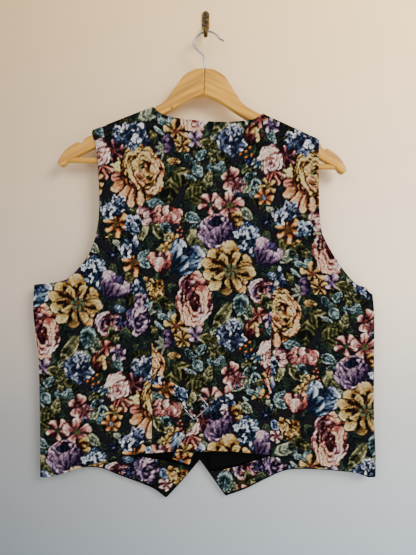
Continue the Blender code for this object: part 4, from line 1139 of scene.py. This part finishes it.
for side, inward in (("left", 1), ("right", -1)):
    armhole = [*ARMHOLE_LOWER[side][:-1], *ARMHOLE_UPPER[side]]
    edge = chain(stretch(SIDE[side], FRONT_CELL), stretch(armhole, FRONT_CELL))
    side_rows = len(fine(length_of(SIDE[side]), FRONT_CELL)) - 1
    inner = edge + [inward * SIDE_ROLL, 0]
    cutaway, straight = (stretch(line[side], FRONT_CELL) for line in (FRONT_CUTAWAY, FRONT_EDGE))
    neck_rows = len(edge) + 2 - len(cutaway[1]) - len(straight[1])
    middle = chain(cutaway, straight, (FRONT_NECK[side], np.linspace(0, 1, neck_rows)))
    across_panel = fine(FRONT_WIDTH, FRONT_CELL)
    hem = smooth([inner[0], *FRONT_HEM[side][1:]], across_panel)
    top = smooth([(inner[-1][0], ridge(inner[-1][0], side)), NECK[side]], across_panel) - [0, SHOULDER_ROLL]
    inner[-1], middle[-1] = top[0], top[-1]
    flat = with_y(patch(inner, middle, hem, top), lambda x, z: front_y(x, z, side))
    rest = edge[side_rows:]
    steps = np.linalg.norm(np.diff(rest, axis=0, prepend=rest[:1]), axis=1)
    past_side = np.r_[np.zeros(side_rows), np.cumsum(steps)]
    rolled = turned(edge, flat[:, 0], level(edge[:, 1], 2), np.clip(1 - past_side / SIDE_FADE, 0, 1))
    panel = np.concatenate([rolled.transpose(1, 0, 2), flat], axis=1)
    seam = np.stack([panel[-1, :, 0], ridge(panel[-1, :, 0], side)], axis=1)
    over = turned(seam, panel[-1], level(seam[:, 1], 2), np.ones(len(seam)))[::-1]
    panel = np.concatenate([panel, over])
    cut_u = FRONT_CUT_U + FRONT_CUT_SIDE * inward
    mirrored = lambda grid: (cut_u - grid[..., 0], FRONT_CUT_V - grid[..., 2])
    made = shell(
        f"front_panel_{side}", panel, mirrored, (tapestry, satin), [f"front_{side}"], face=-inward
    )

# Inside the fronts. A strip of the tapestry faces each hem, and black satin lines the front from there up.
FACING_WALL = 1.0
FACING_SLACK = 0.15
FACING_SINK = WALL / 2 + GAP + FACING_WALL / 2 + FACING_SLACK
FACING_CELL, FACING_LENGTH, FACING_HEIGHT, FACING_RISE = 1.6, 250.0, 45.0, 2.5
FACING_INSET, FACING_LIFT = 1.6 * SIDE_ROLL, 4
LINING_SLACK, SLACK_START, SLACK_RUN = 1.3, 2 * OVERLAP_START, 60
LINING_ROWS, LINING_COLUMNS = 45, 60
LINING_SIDE_INSET, LINING_INSET, LINING_NECK_INSET, LINING_TURN = 1.8 * SIDE_ROLL, 10, 12, (-600, -405)
FACING_TOP = {
    "left": [(-240, -682), (-185, -672), (-125, -692), (-85, -700), (-45, -707), (-20, -713)],
    "right": [(245, -680), (180, -680), (120, -692), (85, -701), (52, -712), (6, -722)],
}
for side, inward, cut in (("left", 1, (-37, 0)), ("right", -1, (24, 18))):
    inside_y = lambda x, z: front_y(x, z, side) - FACING_SINK
    along_hem = fine(FACING_LENGTH, FACING_CELL)
    top = smooth(FACING_TOP[side], along_hem)
    start = (FRONT_HEM[side][0][0] + FACING_INSET * inward, FRONT_HEM[side][0][1] + FACING_LIFT)
    hem = smooth([start, *FRONT_HEM[side][1:]], along_hem) + [0, FACING_RISE]
    up = fine(FACING_HEIGHT, FACING_CELL)
    facing = with_y(patch(smooth([hem[0], top[0]], up), smooth([hem[-1], top[-1]], up), hem, top), inside_y)
    made = shell(
        f"hem_facing_{side}", facing, laid(*cut), (tapestry,), [f"facing_{side}"],
        wall=FACING_WALL, face=inward,
    )
    bottom = even(FACING_TOP[side], LINING_COLUMNS) + [0, FACING_WALL + GAP]
    armhole = [*ARMHOLE_LOWER[side][1:-1], *ARMHOLE_UPPER[side][:-1]]
    rows = np.linspace(0, 1, LINING_ROWS + 1)
    outer = chain((SIDE[side][1:], rows), (armhole, rows)) + [LINING_SIDE_INSET * inward, 0]
    outer[0] = bottom[0]
    edge = [(FRONT_EDGE[side][0][0] - LINING_INSET * inward, z) for z in LINING_TURN]
    neck = [(x - LINING_NECK_INSET * inward, z) for x, z in FRONT_NECK[side][:-1]]
    middle = chain(([bottom[-1], *edge], rows), (neck, rows))
    shoulder = even([outer[-1], middle[-1]], LINING_COLUMNS)
    slack = LINING_SLACK * (side == "left")
    slack_y = lambda x, z: inside_y(x, z) - slack * np.clip((x - SLACK_START) / SLACK_RUN, 0, 1)
    lining = with_y(patch(outer, middle, bottom, shoulder), slack_y)
    made = shell(
        f"satin_{side}", lining, None, (satin,), [f"lining_{side}"], wall=FACING_WALL, face=inward
    )

# The back straps. Each is a tube of tapestry, pressed flat. The left one is sewn round the buckle's first
# bar; the right one goes up through the slide, over its middle bar and down again, and its tail hangs over
# the hem.
BUCKLE_TURN = -48.0
BAR_STEP = 12.0
BUCKLE_MIDDLE = (-14.6, -611.8)
BUCKLE_LIFT = (4.4, 5.4, 6.4)
BUCKLE_LENGTH, BUCKLE_CORNER, BAR_WIDTH, BAR_DEPTH, BAR_OVERLAP = 33.0, 2.5, 2.2, 1.9, 0.4
WRAP_OUT, WRAP_UP = 3.4, 3.1
WRAP_ANGLES = (0, 30, 60, 90, 120, 150, 180)
STRAP_WALL, STRAP_WIDTH, STRAP_CELL = 2.0, 25.0, 1.2


def across():
    """The unit vector in x, z that crosses the buckle's bars, and the one that runs along them."""
    turn = math.radians(BUCKLE_TURN)
    return np.array([math.cos(turn), math.sin(turn)]), np.array([-math.sin(turn), math.cos(turn)])


def along(number, by, lift, turn=BUCKLE_TURN + 90, width=STRAP_WIDTH):
    """A strap section that lies this far across the buckle from one of its bars."""
    x, z = np.array(BUCKLE_MIDDLE) + across()[0] * (BAR_STEP * (number - 2) + by)
    return (x, z, lift, turn, width)


def wrapped(number, side, angles):
    """Strap sections round one bar, on a half circle."""
    lift = BUCKLE_LIFT[number - 1]
    turns = [math.radians(a) for a in angles]
    return [along(number, side * WRAP_OUT * math.sin(t), lift + WRAP_UP * math.cos(t)) for t in turns]


def strap(name, sections, node, cut):
    """A flat strap on a smooth curve through sections: x, z, lift off the back, way of its width, width."""
    sections = smooth(sections, fine(length_of([s[:3] for s in sections]), STRAP_CELL))
    shares = fine(STRAP_WIDTH, STRAP_CELL) - 0.5
    way = np.radians(sections[:, 3:4])
    x = sections[:, :1] + shares * sections[:, 4:5] * np.cos(way)
    z = sections[:, 1:2] + shares * sections[:, 4:5] * np.sin(way)
    grid = np.stack([x, back_y(x, z) - WALL / 2 - sections[:, 2:3], z], axis=-1)
    made = shell(name, grid, laid(*cut), (tapestry,), [node], STRAP_WALL)


left = [
    (-81.5, -573, 1.6, 62, 25), (-70, -579, 1.6, 61, 25), (-57, -586, 1.8, 59, 25), (-46, -592, 3.0, 56, 25),
    along(1, -10, 5.8), along(1, -5, 7.0), *wrapped(1, 1, WRAP_ANGLES), along(1, -5, 1.5), along(1, -9, 1.5),
]
strap("left_strap", left, "strap_left", (-75, 45))
right = [
    (99.5, -580, 1.6, 105, 24), (85, -584.5, 1.6, 106, 24), (70, -589.5, 1.6, 107, 24),
    (55, -594.5, 1.6, 108, 23), (40, -600, 1.6, 108, 22), (28, -605, 1.6, 102, 21),
    (17, -609.5, 1.6, 90, 21), (6, -614, 1.5, 72, 22),
    along(3, 2, 1.5, width=24), along(3, -4, 1.6), along(2, 5, 2.1), *wrapped(2, -1, WRAP_ANGLES[::-1]),
    along(2, 4, 7.2), along(2, 7.5, 4.9), along(3, -2, 3.9), along(3, 2, 3.9, 50, 26),
    (-3.5, -626, 4.4, 42, 27), (-6.5, -635, 4.4, 28, 27), (-11.5, -645, 3.8, 14, 27),
    (-17.5, -656, 3.0, 2, 27), (-24, -669, 2.4, -9, 28), (-31, -683, 2.2, -16, 28),
    (-39, -698, 2.2, -20, 28),
]
strap("right_strap", right, "strap_right", (128, -108))

# The buckle. A slide of bright plated wire, flattened, with a bar across its middle.
LOOP_STEPS, SLIDE_STEPS = 120, 20
plated = Finish("plated_steel", Base_Color=(0.15, 0.154, 0.16, 1), Metallic=1.0)
where = plated.place()
plated.feed("Roughness", 0.16 + plated.noise(where, 300.0, 3.0) * 0.15)
over, along_bar = across()
rise = (BUCKLE_LIFT[2] - BUCKLE_LIFT[0]) / (2 * BAR_STEP)
first = np.array([over[0], -rise, over[1]]) / math.hypot(1, rise)
second = np.array([along_bar[0], 0, along_bar[1]])
x, z = BUCKLE_MIDDLE
middle = np.array([x, float(back_y(np.array(x), np.array(z))) - WALL / 2 - BUCKLE_LIFT[1], z])
reach = np.array([BAR_STEP, BUCKLE_LENGTH / 2 - BAR_WIDTH / 2])
turns = np.radians(np.linspace(0, 90, 7))
quarter = np.stack([np.cos(turns), np.sin(turns)], 1) * BUCKLE_CORNER + reach - BUCKLE_CORNER
loop = np.vstack([quarter, quarter[::-1] * [-1, 1], -quarter, quarter[::-1] * [1, -1]])
loop = even(np.vstack([loop, loop[:1]]), LOOP_STEPS)[:-1]
ahead = np.roll(loop, -1, axis=0) - np.roll(loop, 1, axis=0)
outward = np.stack([ahead[:, 1], -ahead[:, 0]], 1) / np.linalg.norm(ahead, axis=1, keepdims=True)
around = circle(WIRE_SIDES)
ring = loop[:, None] + outward[:, None] * BAR_WIDTH / 2 * np.cos(around)[None, :, None]
height = np.broadcast_to(BAR_DEPTH / 2 * np.sin(around), ring.shape[:2])
third = np.cross(first, second)
points = middle + ring[..., :1] * first + ring[..., 1:] * second + height[..., None] * third
faces = [list(f) for f in quads(len(loop) + 1, WIRE_SIDES, wrap=True) % (len(loop) * WIRE_SIDES)]
piece("slide_frame", (points.reshape(-1, 3), faces), plated, "bright_metal", "strap_buckle")
half_bar = second * (reach[1] - BAR_OVERLAP)
route = even([middle - half_bar, middle + half_bar], SLIDE_STEPS)
piece("slide_bar", tube(route, BAR_DEPTH / 2, WIRE_SIDES), plated, "bright_metal", "strap_buckle")

# The buttons. Five plain dark ones with four holes, sewn to the left front through the right front's edge.
BUTTON_COUNT, BUTTON_X, BUTTON_TOP, BUTTON_STEP = 5, -11.0, -414.0, 66.0
BUTTON_PROFILE = [  # radius, height over the back face
    (0.0, 0.0), (7.8, 0.0), (8.7, 0.5), (9.0, 1.4), (8.8, 2.4), (8.2, 2.95),
    (7.4, 3.0), (6.8, 2.6), (6.2, 2.25), (4.5, 2.1), (0.0, 2.05),
]
HOLE_OFFSET, HOLE_REACH, HOLE_DEPTH = 1.9, 0.95 * 1.3, 1.5
STITCH = [(-1, 0.6), (-0.8, 2.2), (0, 2.75), (0.8, 2.2), (1, 0.6)]  # share of a hole's offset, height
STITCH_RADIUS, STITCH_SIDES, STITCH_STEPS = 0.45, 8, 16
BUTTON_RINGS, BUTTON_SIDES, SMALLEST_RING = 60, 64, 0.05
horn = Finish("dark_horn", Coat_Weight=0.1, Coat_Roughness=0.2, Specular_IOR_Level=0.15)
where = horn.place()
clouds = horn.noise(where, 180.0, 4.0, (1, 1, 0.35))
horn.feed("Base Color", horn.mix(clouds, (0.004, 0.003, 0.0025, 1), (0.040, 0.020, 0.010, 1)))
horn.feed("Roughness", 0.22 + clouds * 0.2)
linen = Finish("button_thread", Base_Color=(0.02, 0.02, 0.022, 1), Roughness=0.8)
linen.bump(linen.noise(linen.place(), 2500.0), 0.0003, 0.6)


def button(number):
    """A turned disc: the profile's radius and height carried round a circle. Near each hole the face dips
    by the cosine of the distance."""
    middle = np.array([BUTTON_X, 0.0, BUTTON_TOP - BUTTON_STEP * number])
    base = float(front_y(middle[:1], middle[2:], "right")[0]) + WALL / 2 + GAP
    rings = even(BUTTON_PROFILE, BUTTON_RINGS)
    rings = rings[rings[:, 0] > SMALLEST_RING]
    around = circle(BUTTON_SIDES)
    x, z = rings[:, :1] * np.cos(around), rings[:, :1] * np.sin(around)
    hole = np.hypot(np.abs(x) - HOLE_OFFSET, np.abs(z) - HOLE_OFFSET) / HOLE_REACH
    front = np.arange(len(rings))[:, None] > len(rings) // 2
    y = rings[:, 1:] - np.where(front, HOLE_DEPTH * (0.5 + 0.5 * np.cos(np.pi * np.clip(hole, 0, 1))), 0)
    points = np.stack([x, y, z], -1).reshape(-1, 3) + middle + [0, base, 0]
    node = f"button_{number + 1}"
    piece(f"front_{node}", (points, capped(len(rings), len(around))), horn, "button", node)
    for turn, way in ((-1, "down"), (1, "up")):
        path = np.array([(share, lift, share * turn) for share, lift in STITCH])
        route = even(path * [HOLE_OFFSET, 1, HOLE_OFFSET] + middle + [0, base, 0], STITCH_STEPS)
        piece(f"stitch_{number + 1}_{way}", tube(route, STITCH_RADIUS, STITCH_SIDES), linen, "button", node)


for number in range(BUTTON_COUNT):
    button(number)
